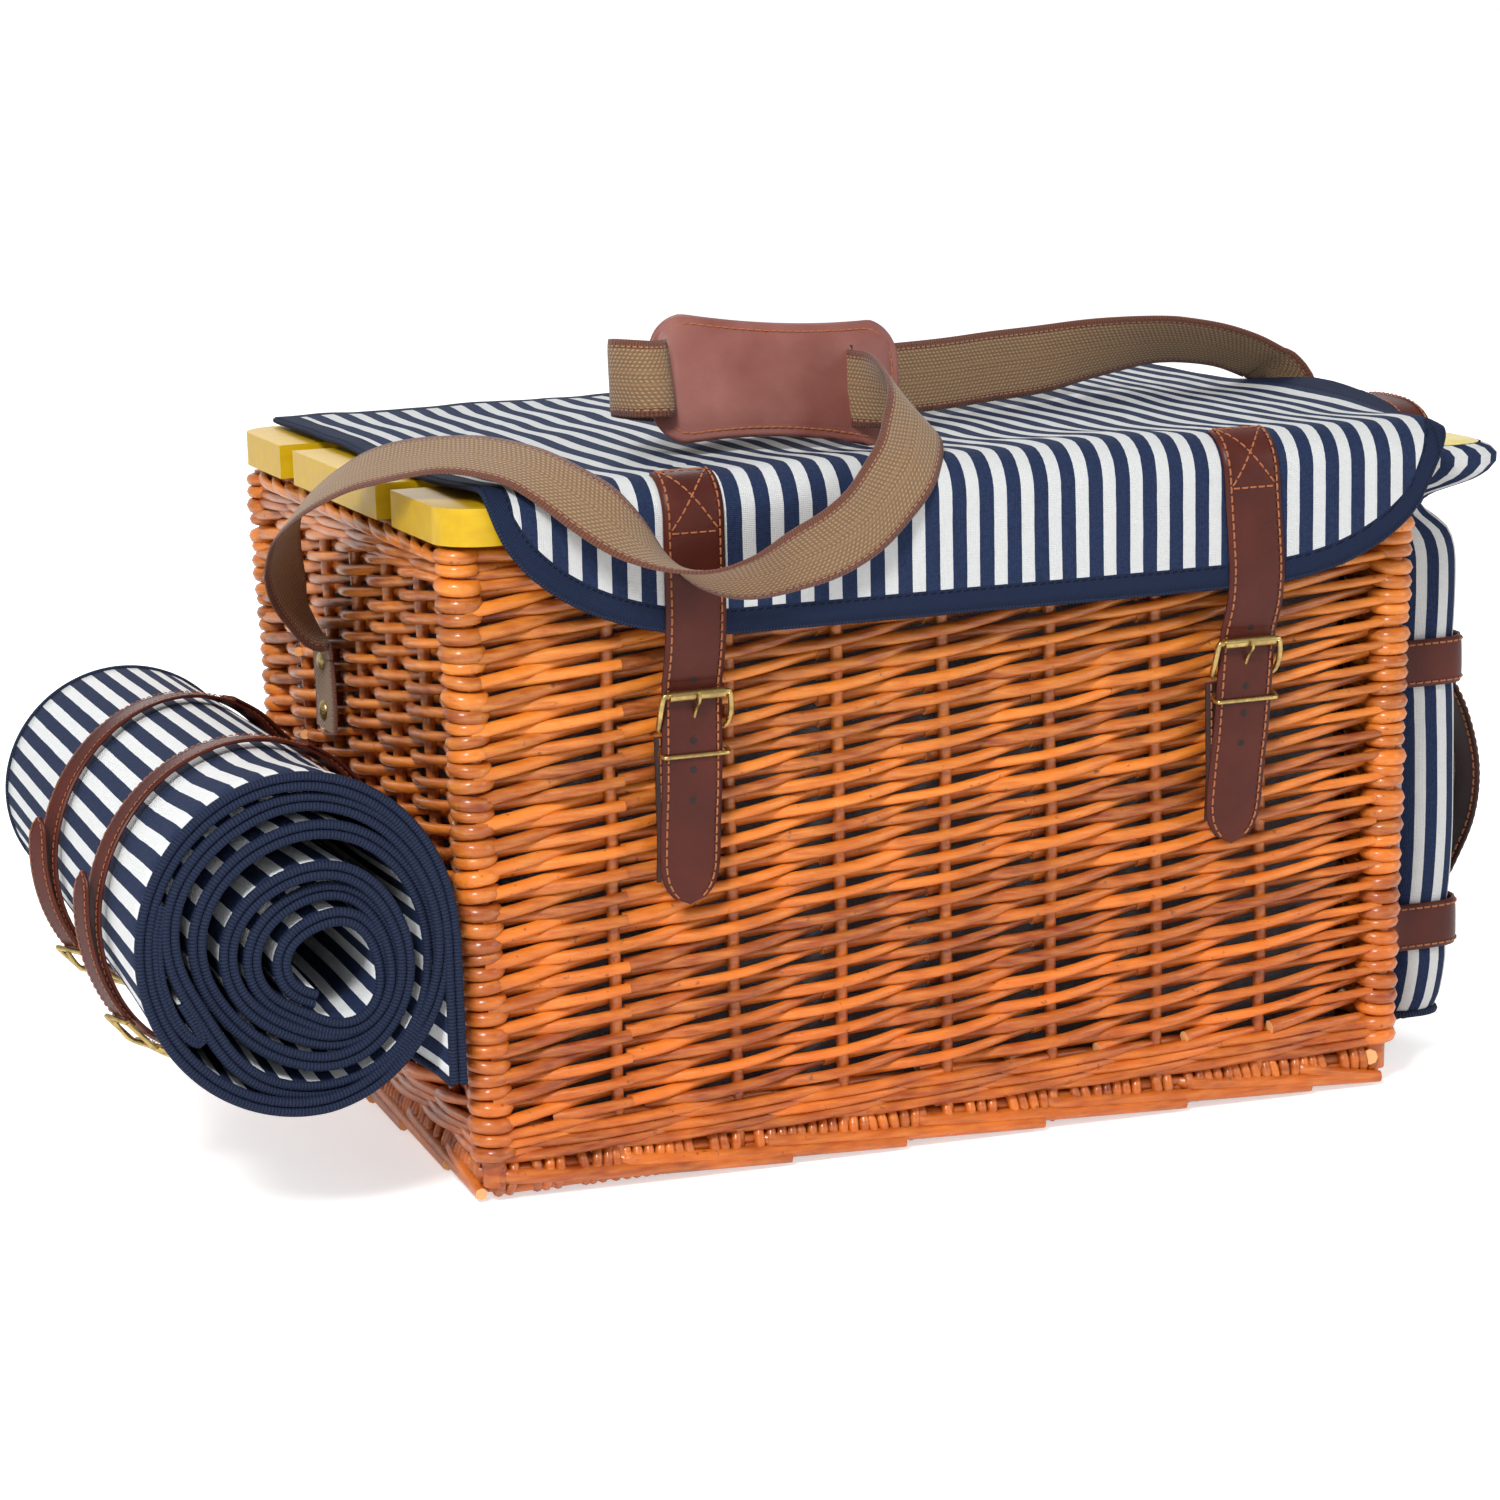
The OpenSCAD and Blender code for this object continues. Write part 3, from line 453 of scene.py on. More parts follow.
class Builder:
    """Collects quads with one vector value per point, then makes one object."""

    def __init__(self, attribute):
        self.attribute = attribute
        self.points, self.faces, self.values = [], [], []
        self.count = 0

    def add(self, points, faces, values):
        """Takes in points, faces that count them from 0, and one value per point."""
        start = self.count
        self.points.append(np.asarray(points, float))
        self.values.append(np.asarray(values, float))
        self.faces.extend([tuple(start + i for i in face) for face in faces])
        self.count += len(points)

    def grid(self, points, values, closed=False, flip=False):
        """points is rows x columns x 3; closed joins the last column to the first."""
        rows, cols = points.shape[:2]
        faces = []
        for i in range(rows - 1):
            for j in range(cols if closed else cols - 1):
                k = (j + 1) % cols
                face = (i * cols + j, i * cols + k, (i + 1) * cols + k, (i + 1) * cols + j)
                faces.append(face[::-1] if flip else face)
        self.add(points.reshape(-1, 3), faces, values.reshape(-1, 3))

    def rod(self, path, radii, sides=8, up=(0.0, 0.0, 1.0), tone=0.5, ends=True):
        """A round rod along path; its end discs carry cut = 1."""
        path = np.asarray(path, float)
        n = len(path)
        radii = np.broadcast_to(np.asarray(radii, float), (n,))
        along = unit(np.gradient(path, axis=0))
        side = unit(np.cross(along, np.asarray(up, float)))
        top = np.cross(side, along)
        angles = np.arange(sides) * 2 * math.pi / sides
        ring = (np.cos(angles)[None, :, None] * side[:, None, :]
                + np.sin(angles)[None, :, None] * top[:, None, :])
        rings = path[:, None, :] + ring * radii[:, None, None]
        run = run_length(path)
        values = np.zeros((n, sides, 3))
        values[..., 0] = tone
        values[..., 1] = run[:, None] * MM
        self.grid(rings, values, closed=True)
        if ends:
            fan = [(0, j + 1, (j + 1) % sides + 1) for j in range(sides)]
            for i, order in ((0, 1), (n - 1, -1)):
                disc = np.concatenate([path[i][None], rings[i]])
                mark = np.tile([tone, run[i] * MM, 1.0], (sides + 1, 1))
                self.add(disc, [face[::order] for face in fan], mark)

    def make(self, name, material, body=None, replaces=()):
        """One object of all that was collected; body is what it rides on."""
        mesh = bpy.data.meshes.new(name)
        points = np.concatenate(self.points) * MM
        mesh.from_pydata(points.tolist(), [], self.faces)
        store = mesh.attributes.new(self.attribute, "FLOAT_VECTOR", "POINT")
        store.data.foreach_set("vector", np.concatenate(self.values).astype(np.float32).ravel())
        mesh.materials.append(material)
        mesh.polygons.foreach_set("use_smooth", [True] * len(mesh.polygons))
        mesh.update()
        piece = place_in_scene(name, mesh)
        if body:
            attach(piece, body)
        if replaces:
            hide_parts(*replaces)
        return piece


def smooth_path(stations, step=4.0):
    """Catmull-Rom curve through the stations, at about one point per step."""
    p = np.asarray(stations, float)
    ends = [2 * p[0] - p[1], *p, 2 * p[-1] - p[-2]]
    out = []
    for a, b, c, d in zip(ends, ends[1:], ends[2:], ends[3:]):
        n = max(1, int(round(np.linalg.norm(c[:3] - b[:3]) / step)))
        t = (np.arange(n) / n)[:, None]
        out.append(0.5 * (2 * b + (c - a) * t + (2 * a - 5 * b + 4 * c - d) * t ** 2
                          + (3 * b - a - 3 * c + d) * t ** 3))
    out.append(p[-1][None])
    return np.concatenate(out)


def band_frames(path, wide):
    """Unit directions along, across and out of a band."""
    along = unit(np.gradient(path, axis=0))
    across = unit(wide - along * np.sum(wide * along, axis=1)[:, None])
    return along, across, np.cross(along, across)


def band_piece(builder, path, wide, half_widths, thickness, columns=9, crown=0.0, start=0.0):
    """A band with rounded edges; values are across (-1..1), along in metres, side."""
    path, wide = np.asarray(path, float), np.asarray(wide, float)
    n = len(path)
    half_widths = np.broadcast_to(np.asarray(half_widths, float), (n,))
    _, across, out = band_frames(path, wide)
    u = np.linspace(-1, 1, columns)

    def face(u, side):
        """One face of the band, thinner towards its edges: side is 1 outside and -1 inside."""
        rise = crown * (1 - u ** 2) + side * thickness / 2 * (1 - np.abs(u) ** 6 * 0.55)
        spread = across[:, None] * (u[:, None] * half_widths[:, None, None])
        return path[:, None] + spread + out[:, None] * rise[:, None]

    top, low = face(u, 1), face(u[::-1], -1)
    loop = np.concatenate([top, low], axis=1)
    run = (run_length(path) + start) * MM
    values = np.zeros((n, 2 * columns, 3))
    values[..., 0] = np.concatenate([u, u[::-1]])[None]
    values[..., 1] = run[:, None]
    values[..., 2] = np.concatenate([np.ones(columns), -np.ones(columns)])[None]
    builder.grid(loop, values, closed=True, flip=True)
    for i, flip in ((0, False), (n - 1, True)):
        ends = np.stack([top[i], low[i][::-1]])
        marks = np.stack([values[i, :columns], values[i, columns:][::-1]])
        builder.grid(ends, marks, flip=flip)


def stitches(name, paths, body, pitch=4.6, length=3.2, radius=0.5, sides=5):
    """Short thread stitches along each path; a path is rows of place and outward direction."""
    builder = Builder("rod")
    for path in paths:
        path = np.asarray(path, float)
        run = run_length(path)
        for centre in np.arange(pitch / 2, run[-1], pitch):
            at = centre + np.array([-0.5, -0.25, 0.25, 0.5]) * length
            spots = np.stack([np.interp(at, run, path[:, k]) for k in range(3)], axis=1)
            out = np.stack([np.interp(at, run, path[:, 3 + k]) for k in range(3)], axis=1)
            spots = spots + out * np.array([-0.25, 0.12, 0.12, -0.25])[:, None]
            direction = spots[-1] - spots[0]
            up = (0, 0, 1) if abs(direction[2]) < 0.8 * np.linalg.norm(direction) else (1, 0, 0)
            builder.rod(spots, radius, sides, up=up, tone=0.5, ends=False)
    return builder.make(name, THREAD, body)


def edge_line(path, wide, offset, thickness, side=1):
    """A stitch path on a band's face, offset from its middle."""
    _, across, out = band_frames(path, wide)
    spots = path + across * np.reshape(offset, (-1, 1)) + out * side * thickness / 2
    return np.concatenate([spots, out * side], axis=1)


def band_route(rows, across, step=3.0):
    """A smooth path through the given places, with one direction across it."""
    return smooth_path([(*row, *across) for row in rows], step)


def plain_band(name, path, half_width, thickness, body, node, material, crown=0.0, columns=9):
    """One band along a path of place and direction across, as a piece of its own."""
    builder = Builder("band")
    band_piece(builder, path[:, :3], path[:, 3:], half_width, thickness, columns, crown)
    return builder.make(name, material, body, [node])


def seams(name, path, offset, thickness, body, faces=(1,)):
    """A stitched line along each edge of a band, on each of the given faces."""
    lines = [edge_line(path[:, :3], path[:, 3:], s * offset, thickness, face)
             for s in (-1, 1) for face in faces]
    return stitches(name, lines, body)


# ---- Wicker ----
class Wall:
    """A wall's own coordinates: s along it, h up it and d out of its outer face.
    half is how far its foot stands from the middle; half_low and half_high are half its length."""

    def __init__(self, turn, half, lean, half_low, half_high, stakes):
        self.turn = math.radians(turn)
        self.half, self.lean = half, lean
        self.half_low, self.half_high = half_low, half_high
        self.stakes = stakes

    def at(self, s, h, d):
        """Places in the row frame."""
        y = -self.half - h * math.sin(self.lean) - d * math.cos(self.lean)
        z = h * math.cos(self.lean) - d * math.sin(self.lean)
        c, k = math.cos(self.turn), math.sin(self.turn)
        return np.stack([s * c - y * k, s * k + y * c, z + 0 * s], axis=-1)

    def end(self, h):
        """Half the wall's length between its corner posts, at height h."""
        return self.half_low + (self.half_high - self.half_low) * h / BASKET_H

    def knots(self, h):
        """Places that the rods cross: the corner posts and the stakes."""
        return [-self.end(h), *self.stakes, self.end(h)]


LEAN_Y = math.atan((RIM_D - FOOT_D) / 2 / BASKET_H)
LEAN_X = math.atan((RIM_L - FOOT_L) / 2 / BASKET_H)
LONG_WALL = (FOOT_D / 2, LEAN_Y, FOOT_L / 2 - POST_R, RIM_L / 2 - POST_R, LONG_STAKES)
SHORT_WALL = (FOOT_L / 2, LEAN_X, FOOT_D / 2 - POST_R, RIM_D / 2 - POST_R, SHORT_STAKES)
WALLS = {
    "front_wall": Wall(0, *LONG_WALL),
    "back_wall": Wall(180, *LONG_WALL),
    "left_wall": Wall(-90, *SHORT_WALL),
    "right_wall": Wall(90, *SHORT_WALL),
}
WEAVE_LOW, WEAVE_HIGH = 38.0, 306.0
ROD_PITCH = 5.75
WEAVE_RISE = 0.118
WEAVE_DEPTH = 5.3
WEAVE_STEP = 7.0
# Usual distance between two stakes
BAY = 58.0
# Of every second course, the share that starts with a short rod; the next one sits behind it
FRONT_CUTS, FRONT_LAP = 0.7, 4.4
# How far a rod runs past its last stake, as a share of the way to the next
ROD_LAP = 0.16
SHORTEST_ROW = 25.0


def weave_row(builder, wall, row, level):
    """One slanted course: rods laid end to end, each cut behind or in front of a stake."""
    end = wall.end(min(max(level, WEAVE_LOW), WEAVE_HIGH))
    first = max(-end, (WEAVE_LOW - level) / WEAVE_RISE)
    last = min(end, (WEAVE_HIGH - level) / WEAVE_RISE)
    if last - first < SHORTEST_ROW:
        return
    knots = wall.knots(level)
    index = np.arange(len(knots))
    g_first, g_last = np.interp([first, last], knots, index)
    cut = g_first
    lap = 0.0
    while cut < g_last - 0.2:
        behind = math.floor(cut) + random.choice([2, 2, 4])
        behind += (behind + row + 1) % 2
        stop = g_last if behind > g_last - 1.2 else behind
        begin = cut + 0.07 if lap else cut - ROD_LAP * (cut > g_first)
        short = cut < 0.5 and row % 2 == 1 and random.random() < FRONT_CUTS
        if short:
            stop = 1
        g = np.arange(begin, stop + ROD_LAP * (stop < g_last), WEAVE_STEP / BAY)
        g = g[(g >= 0) & (g <= len(knots) - 1)]
        s = np.interp(g, index, knots)
        radius = np.linspace(3.45, 2.8 if short else 2.3, len(g)) * random.uniform(0.93, 1.08)
        over = np.minimum(g, 1) if short else g
        depth = -WALL_T / 2 + WEAVE_DEPTH * np.cos(math.pi * (over + row))
        depth -= lap * np.exp(-((g - cut) / 0.3) ** 2)
        lap = FRONT_LAP if short else 0.0
        drift = random.uniform(-0.55, 0.55)
        bend = random.uniform(-0.7, 0.7) * np.sin(math.pi * (g - cut) / max(stop - cut, 1))
        if len(g) > 3:
            rod = wall.at(s, level + WEAVE_RISE * s + drift + bend, depth)
            builder.rod(rod, radius, tone=random.uniform(0.05, 1.0))
        cut = stop


def weave_wall(name, wall):
    """A wall's weave between its wales, its foot and its border."""
    builder = Builder("rod")
    reach = wall.half_high * WEAVE_RISE
    for row in range(int((WEAVE_HIGH - WEAVE_LOW + 2 * reach) / ROD_PITCH)):
        weave_row(builder, wall, row, WEAVE_LOW - reach + (row + 0.5) * ROD_PITCH)
    wale(builder, wall, [23.0, 28.5, 34.0], 4.6)
    wale(builder, wall, [305.5, 311.0], 4.0)
    foot_rods(builder, wall)
    foot_wraps(builder, wall)
    plait(builder, wall, 320.0, 315.5, 2.7)
    return builder.make(name + "_weave", WICKER, "basket", [name])


def wale(builder, wall, heights, swing):
    """Three rods twisted together round the stakes, one set at each height."""
    for level in heights:
        end = wall.end(level) - 1
        knots = wall.knots(level)
        s = np.arange(-end, end + 1, WEAVE_STEP)
        g = np.interp(s, knots, np.arange(len(knots)))
        for strand in range(3):
            turn = 2 * math.pi * (g + strand + level / 7) / 3
            depth = -WALL_T / 2 + swing * np.cos(turn)
            h = level + 1.9 * np.sin(turn)
            tone = random.uniform(0.2, 0.85)
            builder.rod(wall.at(s, h, depth), np.full(len(s), 2.75), tone=tone)


def plait(builder, wall, high, low, radius, pitch=27.0, length=104.0):
    """Border rods: each leans over the next ones and ends with a pale cut."""
    end = wall.end(high) + POST_R - 3
    for start in np.arange(-end, end - 30, pitch):
        span = min(length * random.uniform(0.9, 1.1), end - start)
        t = np.linspace(0, 1, 16)
        s = start + span * t
        h = high + (low - high) * t ** 1.15
        depth = -10.5 + 11.0 * np.sin(math.pi * np.clip(t * 1.08, 0, 1)) ** 0.8
        size = radius * np.linspace(1.08, 0.8, 16)
        builder.rod(wall.at(s, h, depth), size, tone=random.uniform(0.2, 0.9))


def foot_rods(builder, wall, pitch=78.0, length=158.0):
    """Foot border: long rods that each come from behind, run along it and end with a cut."""
    end = wall.end(10) + POST_R - 2
    t = np.concatenate([[0, 0.02, 0.045], np.linspace(0.08, 1, 15)])
    for start in np.arange(-end - 20, end - 30, pitch):
        first = max(start + random.uniform(-6, 6), -end)
        span = min(length, end - 6 - first)
        h = 14.5 - 10.4 * t ** 0.62
        depth = np.where(t < 0.08, -13 + 115 * t, -3.9 + 3.4 * t)
        size = 4.2 * np.linspace(1.0, 0.74, len(t))
        builder.rod(wall.at(first + span * t, h, depth), size, tone=random.uniform(0.25, 0.9))


def foot_wraps(builder, wall):
    """Short upright wraps that show between the foot's long rods, with a few gaps."""
    end = wall.end(10) + POST_R - 2
    h = np.linspace(3.5, 20.5, 8)
    depth = -8.6 + 5.0 * np.sin(math.pi * (h - 3.5) / 17)
    s = -end + 8
    while s < end - 8:
        lean = random.uniform(-1.5, 1.5)
        builder.rod(wall.at(s + lean * (h - 10) / 8, h, depth), 2.75, 8, up=(1, 1, 0),
                    tone=random.uniform(0.1, 0.7), ends=False)
        s += random.choice([5.4, 5.4, 5.4, 5.6, 5.8, 13.0])


def post_at(sx, sy, z):
    """Centre of a corner post at height z; sx and sy say which corner."""
    x = sx * (FOOT_L / 2 - POST_R + (RIM_L - FOOT_L) / 2 * z / BASKET_H)
    y = sy * (FOOT_D / 2 - POST_R + (RIM_D - FOOT_D) / 2 * z / BASKET_H)
    return np.array([x, y, z])


def corner_posts():
    """Posts wrapped by the ends of the rods."""
    builder = Builder("rod")
    turns = np.linspace(0, 2 * math.pi, 21)
    for sx in (-1, 1):
        for sy in (-1, 1):
            core = np.stack([post_at(sx, sy, z) for z in np.linspace(8, 322, 12)])
            builder.rod(core, 6.2, 10, up=(1, 0, 0), tone=0.3)
            z = 25.0
            while z < 320:
                tilt = random.uniform(-1.3, 1.3)
                thick = random.uniform(3.2, 4.5)
                centre = post_at(sx, sy, z)
                ring = centre + np.stack([7.6 * np.cos(turns), 7.6 * np.sin(turns),
                                          tilt * np.cos(turns + 0.8)], axis=1)
                builder.rod(ring, thick, 8, tone=random.uniform(0.1, 0.95), ends=False)
                z += thick * 1.93
    return builder.make("corner_wraps", WICKER, "basket", ["corner_posts"])


def stakes():
    """Upright rods that the weave passes round."""
    for name, wall in WALLS.items():
        builder = Builder("rod")
        for place in wall.stakes:
            h = np.linspace(8, 321, 30)
            sway = np.array([uneven(place * 0.1, v * 0.02, 1.7) for v in h])
            path = wall.at(place + sway * 1.2, h, np.full(30, -WALL_T / 2))
            builder.rod(path, 3.15, 10, up=(1, 1, 0), tone=random.uniform(0.15, 0.5))
        side = name.split("_")[0]
        builder.make(side + "_stake_rods", WICKER, "basket", [side + "_stakes"])


def basket_borders():
    """Rods that fill the foot and the rim behind their plaited borders."""
    for name, z, long, deep in (("foot_border", 10.0, FOOT_L, FOOT_D), ("rim_border", 317.0, RIM_L, RIM_D)):
        x, y = long / 2 - 8.5, deep / 2 - 8.5
        corners = [(x, y), (-x, y), (-x, -y), (x, -y), (x, y)]
        plan = [(a[0] + (b[0] - a[0]) * t, a[1] + (b[1] - a[1]) * t)
                for a, b in zip(corners, corners[1:]) for t in np.linspace(0, 1, 24, endpoint=False)]
        plan.append(corners[0])
        builder = Builder("rod")
        for offset in (-4.2, 0.0, 4.2):
            builder.rod([(*place, z + offset) for place in plan], 3.375, tone=random.uniform(0.2, 0.6))
        builder.make(name + "_core", WICKER, "basket", [name])


def base_weave():
    """Floor of the basket: rods woven over five sticks."""
    builder = Builder("rod")
    half_x, half_y, level = FOOT_L / 2 - 17, FOOT_D / 2 - 17, 10.5
    sticks = Builder("rod")
    for y in (-120, -60, 0, 60, 120):
        line = [(x, y, level) for x in np.linspace(-half_x, half_x, 12)]
        sticks.rod(line, 3.8, 10, tone=random.uniform(0.15, 0.4))
    sticks.make("base_stick_rods", WICKER, "basket", ["base_sticks"])
    knots = [-half_y, -120, -60, 0, 60, 120, half_y]
    y = np.arange(-half_y, half_y + 1, 7.0)
    g = np.interp(y, knots, np.arange(7))
    for row, x in enumerate(np.arange(-half_x + 3, half_x - 2, 6.2)):
        z = level + 4.0 * np.cos(math.pi * (g + row))
        sway = random.uniform(-0.5, 0.5)
        path = np.stack([np.full(len(y), x + sway), y, z], axis=1)
        builder.rod(path, 2.7, 8, up=(1, 0, 0), tone=random.uniform(0.2, 0.85))
    builder.make("base_weave", WICKER, "basket", ["base_mat"])


def rounded_ring(half_x, half_y, radius, count=96):
    """Points round a rounded rectangle, evenly spaced."""
    dense = []
    for cx, cy, a0 in ((1, -1, -90), (1, 1, 0), (-1, 1, 90), (-1, -1, 180)):
        for a in np.linspace(a0, a0 + 90, 12):
            dense.append((cx * (half_x - radius) + radius * math.cos(math.radians(a)),
                          cy * (half_y - radius) + radius * math.sin(math.radians(a))))
    dense.append(dense[0])
    dense = np.array(dense)
    run = run_length(np.c_[dense, np.zeros(len(dense))])
    at = np.linspace(0, run[-1], count)
    return np.stack([np.interp(at, run, dense[:, 0]), np.interp(at, run, dense[:, 1])], axis=1), at


def lining_rows(ring, at, half_y, floor, top):
    """Level rings of the lining: closed over the floor, then up the walls in loose folds."""
    rows = [np.c_[ring * scale, np.full(len(ring), floor)] for scale in (0.02, 0.35, 0.7, 0.95, 1.0)]
    for h in np.linspace(floor + 4, top, 26):
        puff = np.array([uneven(p[0] * 0.02, p[1] * 0.02, h * 0.012) for p in ring])
        fold = np.array([uneven(a * 0.05, 3.1, h * 0.004) for a in at])
        pull = 1 - (1.2 + 1.6 * puff + 1.2 * fold)[:, None] / half_y
        rows.append(np.c_[ring * pull, np.full(len(ring), h)])
    return np.stack(rows)


def inner_lining():
    """Loose cloth lining that hangs inside the wicker."""
    half_x, half_y = FOOT_L / 2 - WALL_T - 3.5, FOOT_D / 2 - WALL_T - 3.5
    ring, at = rounded_ring(half_x, half_y, 10, 180)
    low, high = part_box("lining")
    floor, top = low[2] / MM + 1.0, high[2] / MM - 1.0
    points = lining_rows(ring, at, half_y, floor, top)
    values = np.zeros_like(points)
    values[..., 0] = at[None] * MM
    values[..., 2] = 1.0
    builder = Builder("cloth")
    builder.grid(points, values)
    piece = builder.make("lining_sheet", LINING, "basket", ["lining"])
    thicken(piece, 1.0)


def thicken(piece, thickness):
    """Gives a sheet its thickness, inwards from its outer face."""
    mod = piece.modifiers.new("thickness", "SOLIDIFY")
    mod.thickness = thickness * MM
    mod.offset = -1.0


def bevel(piece, width):
    """Softens sharp edges."""
    mod = piece.modifiers.new("edges", "BEVEL")
    mod.width = width * MM
    mod.segments = 3
    mod.limit_method = "ANGLE"
    mod.harden_normals = False


def repaint(material, *nodes, edge=0.0):
    """Gives CAD nodes a material and soft edges."""
    for name in nodes:
        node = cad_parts[name]
        node.data.materials.clear()
        node.data.materials.append(material)
        if edge:
            bevel(node, edge)


# ---- Canvas cover ----
FOLD_Y, FOLD_Z, FOLD_R = -187.5, 333.0, 17.5
HEM_Z = 276.5
FLAP_Y = FOLD_Y - FOLD_R
COVER_BACK = 194.0
COVER_Z = 346.9
ARC_START = COVER_BACK - FOLD_Y
ARC_END = ARC_START + FOLD_R * math.pi / 2
CLOTH_LENGTH = ARC_END + FOLD_Z - HEM_Z
MARGIN_X = 262.0


def smoothstep(t):
    """Eases from 0 to 1 as t does."""
    t = np.clip(t, 0.0, 1.0)
    return t * t * (3 - 2 * t)


def cloth_end(x):
    """Cut length of the flat cloth at x, with its two round front corners."""
    left = np.clip((-119 - x) / 122, 0, 1)
    right = np.clip((x - 143) / 142, 0, 1)
    short = 75 * (1 - np.sqrt(1 - left ** 2)) + 151.5 * (1 - (1 - right ** 2.6) ** (1 / 2.6))
    return CLOTH_LENGTH - short - 14.0 * smoothstep((x - 244) / 28)


def top_height(y):
    """The cloth lies flat behind and puffs up a little before its front fold."""
    return COVER_Z + 3.6 * math.exp(-((y - FOLD_Y) / 45) ** 2)


def cover_base(run):
    """Depth, height and outward direction of the flat cloth: top, front fold and flap."""
    if run <= ARC_START:
        y = COVER_BACK - run
        return y, top_height(y), (0, 0, 1)
    if run <= ARC_END:
        a = (run - ARC_START) / FOLD_R
        out = (0, -math.sin(a), math.cos(a))
        return FOLD_Y + FOLD_R * out[1], FOLD_Z + FOLD_R * out[2], out
    drop = run - ARC_END
    return FLAP_Y + 0.02 * drop, FOLD_Z - drop, (0, -1, 0)


def strap_hold(x, y):
    """0 where a strap holds the cloth down, 1 where it is free."""
    if y > -150:
        return 1.0
    return min(1 - math.exp(-((x - strap_x) / 26) ** 2) for strap_x in STRAPS.values())


def margin_curl(x, y):
    """Height by which the right margin rises over the bag and droops at its front corner."""
    rise = 8.0 * math.exp(-((y + 45) / 75) ** 2) - 1.5 - 13.0 * float(smoothstep((-y - 100) / 85))
    return rise * (max(0.0, x - MARGIN_X + 3) / 24) ** 1.5


def cover_point(x, run):
    """Place on the cover: run goes from the back edge over the fold to the hem."""
    y, z, out = cover_base(run)
    free = strap_hold(x, y)
    puff = 0.7 + 1.9 * uneven(x * 0.012, y * 0.009, 0.3) + 1.1 * uneven(x * 0.035, y * 0.02, 5.1)
    lift = max(0.0, puff) * free * (1.0 if out[2] > 0.5 else 0.7)
    inner = max(0.0, 1 - (abs(x) / MARGIN_X) ** 4) * min(1.0, max(0.0, (y + 165) / 90))
    x += 6.0 * inner * uneven(x * 0.008, y * 0.013, 9.0)
    flare = max(0.0, 1.2 * math.sin(x / 31.0)) * free * max(0.0, run - ARC_END) / 60
    return (x, y + out[1] * lift - flare, z + out[2] * (lift + margin_curl(x, y)))


def cover_strip(name, columns, *nodes):
    """One strip of the cover between the given columns."""
    share = np.linspace(0, 1, 112)
    points = np.zeros((len(share), len(columns), 3))
    values = np.zeros_like(points)
    for j, x in enumerate(columns):
        last = float(cloth_end(x))
        slope = (float(cloth_end(x + 0.5)) - float(cloth_end(x - 0.5)))
        for i, run in enumerate(share * last):
            points[i, j] = cover_point(x, run)
            side = min(x - COVER_LEFT, COVER_RIGHT - x)
            hem = (last - run) / math.sqrt(1 + slope ** 2)
            values[i, j] = (x * MM, run * MM, max(0.0, min(side, hem, run)) * MM)
    builder = Builder("cloth")
    builder.grid(points, values)
    piece = builder.make(name, CANVAS, "lid", nodes)
    thicken(piece, 1.5)
    return piece, points


def cover_piping(name, rim):
    """A thin bound cord along the cloth's rim."""
    keep = np.concatenate([[True], np.linalg.norm(np.diff(rim, axis=0), axis=1) > 0.4])
    piping = Builder("band")
    piping.rod(rim[keep] + np.array([0, 0, -0.4]), 1.5, 8, up=(0.3, 0.2, 0.93), ends=False)
    return piping.make(name, BINDING, "lid")


def canvas_cover():
    """A sheet laid on the planks with a front flap; its right margin is soft over the bag."""
    t = np.linspace(0, 1, 136)
    columns = COVER_LEFT + (MARGIN_X - COVER_LEFT) * (0.75 * t + 0.125 * (1 - np.cos(math.pi * t)))
    cover, main = cover_strip("cover_sheet", columns, "canvas_cover")
    cover_piping("cover_binding", np.concatenate([main[0, ::-1], main[:, 0], main[-1]]))
    columns = COVER_RIGHT - (COVER_RIGHT - MARGIN_X) * np.linspace(1, 0, 16) ** 1.6
    margin, side = cover_strip("cover_margin_sheet", columns, "cover_margin")
    rim = np.concatenate([side[0], side[:, -1], side[-1, ::-1]])
    edge = cover_piping("cover_margin_binding", rim)
    for piece in (margin, edge):
        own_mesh(piece)


# ---- Leather straps ----
STRAP_DRIFT = {"left": (0.0, 0.0, -1.0, -4.0), "right": (0.0, 4.0, 0.0, -7.5)}
DRIFT_HEIGHTS = (340.0, 275.0, 229.0, 143.0)
HOLE_HEIGHTS = (254.5, 224.0, 210.0, 195.0)
PATCH_L = 36.0
# From a strap's middle line to the thread on its face
STRAP_FACE = 1.75


def strap_path(side, x):
    """Middle line of a closing strap, from its stitched top end to its tip."""
    r = FOLD_R + 0.6 + LEATHER_T / 2
    line = [(FOLD_Y - r * math.sin(a), FOLD_Z + r * math.cos(a)) for a in np.radians(np.linspace(6, 90, 10))]
    line += [(-207.0, 322), (-206.8, 300), (-206.2, 284), (-204.0, 268), (-200.6, 256),
             (-199.0, 248), (-199.0, 205), (-197.5, 186), (-196.5, 165), (-195.5, 143)]
    drift = [np.interp(-z, np.negative(DRIFT_HEIGHTS), STRAP_DRIFT[side]) for _, z in line]
    return band_route([(x + shift, y, z) for (y, z), shift in zip(line, drift)], ALONG_X)


def tongue(run, total, half, tip=24.0):
    """Half width of a strap that ends in a rounded point."""
    t = np.clip((run - (total - tip)) / tip, 0, 1)
    return half * np.sqrt(np.clip(1 - t ** 2.4, 0.0, 1)) + 0.3


def strap_spot(path, distance, offset):
    """Place and outward direction on a strap's face, at a distance from its top end."""
    run = run_length(path)
    _, _, out = band_frames(path[:, :3], path[:, 3:])
    spot = np.array([np.interp(distance, run, path[:, k]) for k in range(3)])
    normal = np.array([np.interp(distance, run, out[:, k]) for k in range(3)])
    return np.array([spot[0] + offset, *(spot[1:] + normal[1:] * STRAP_FACE), *normal])


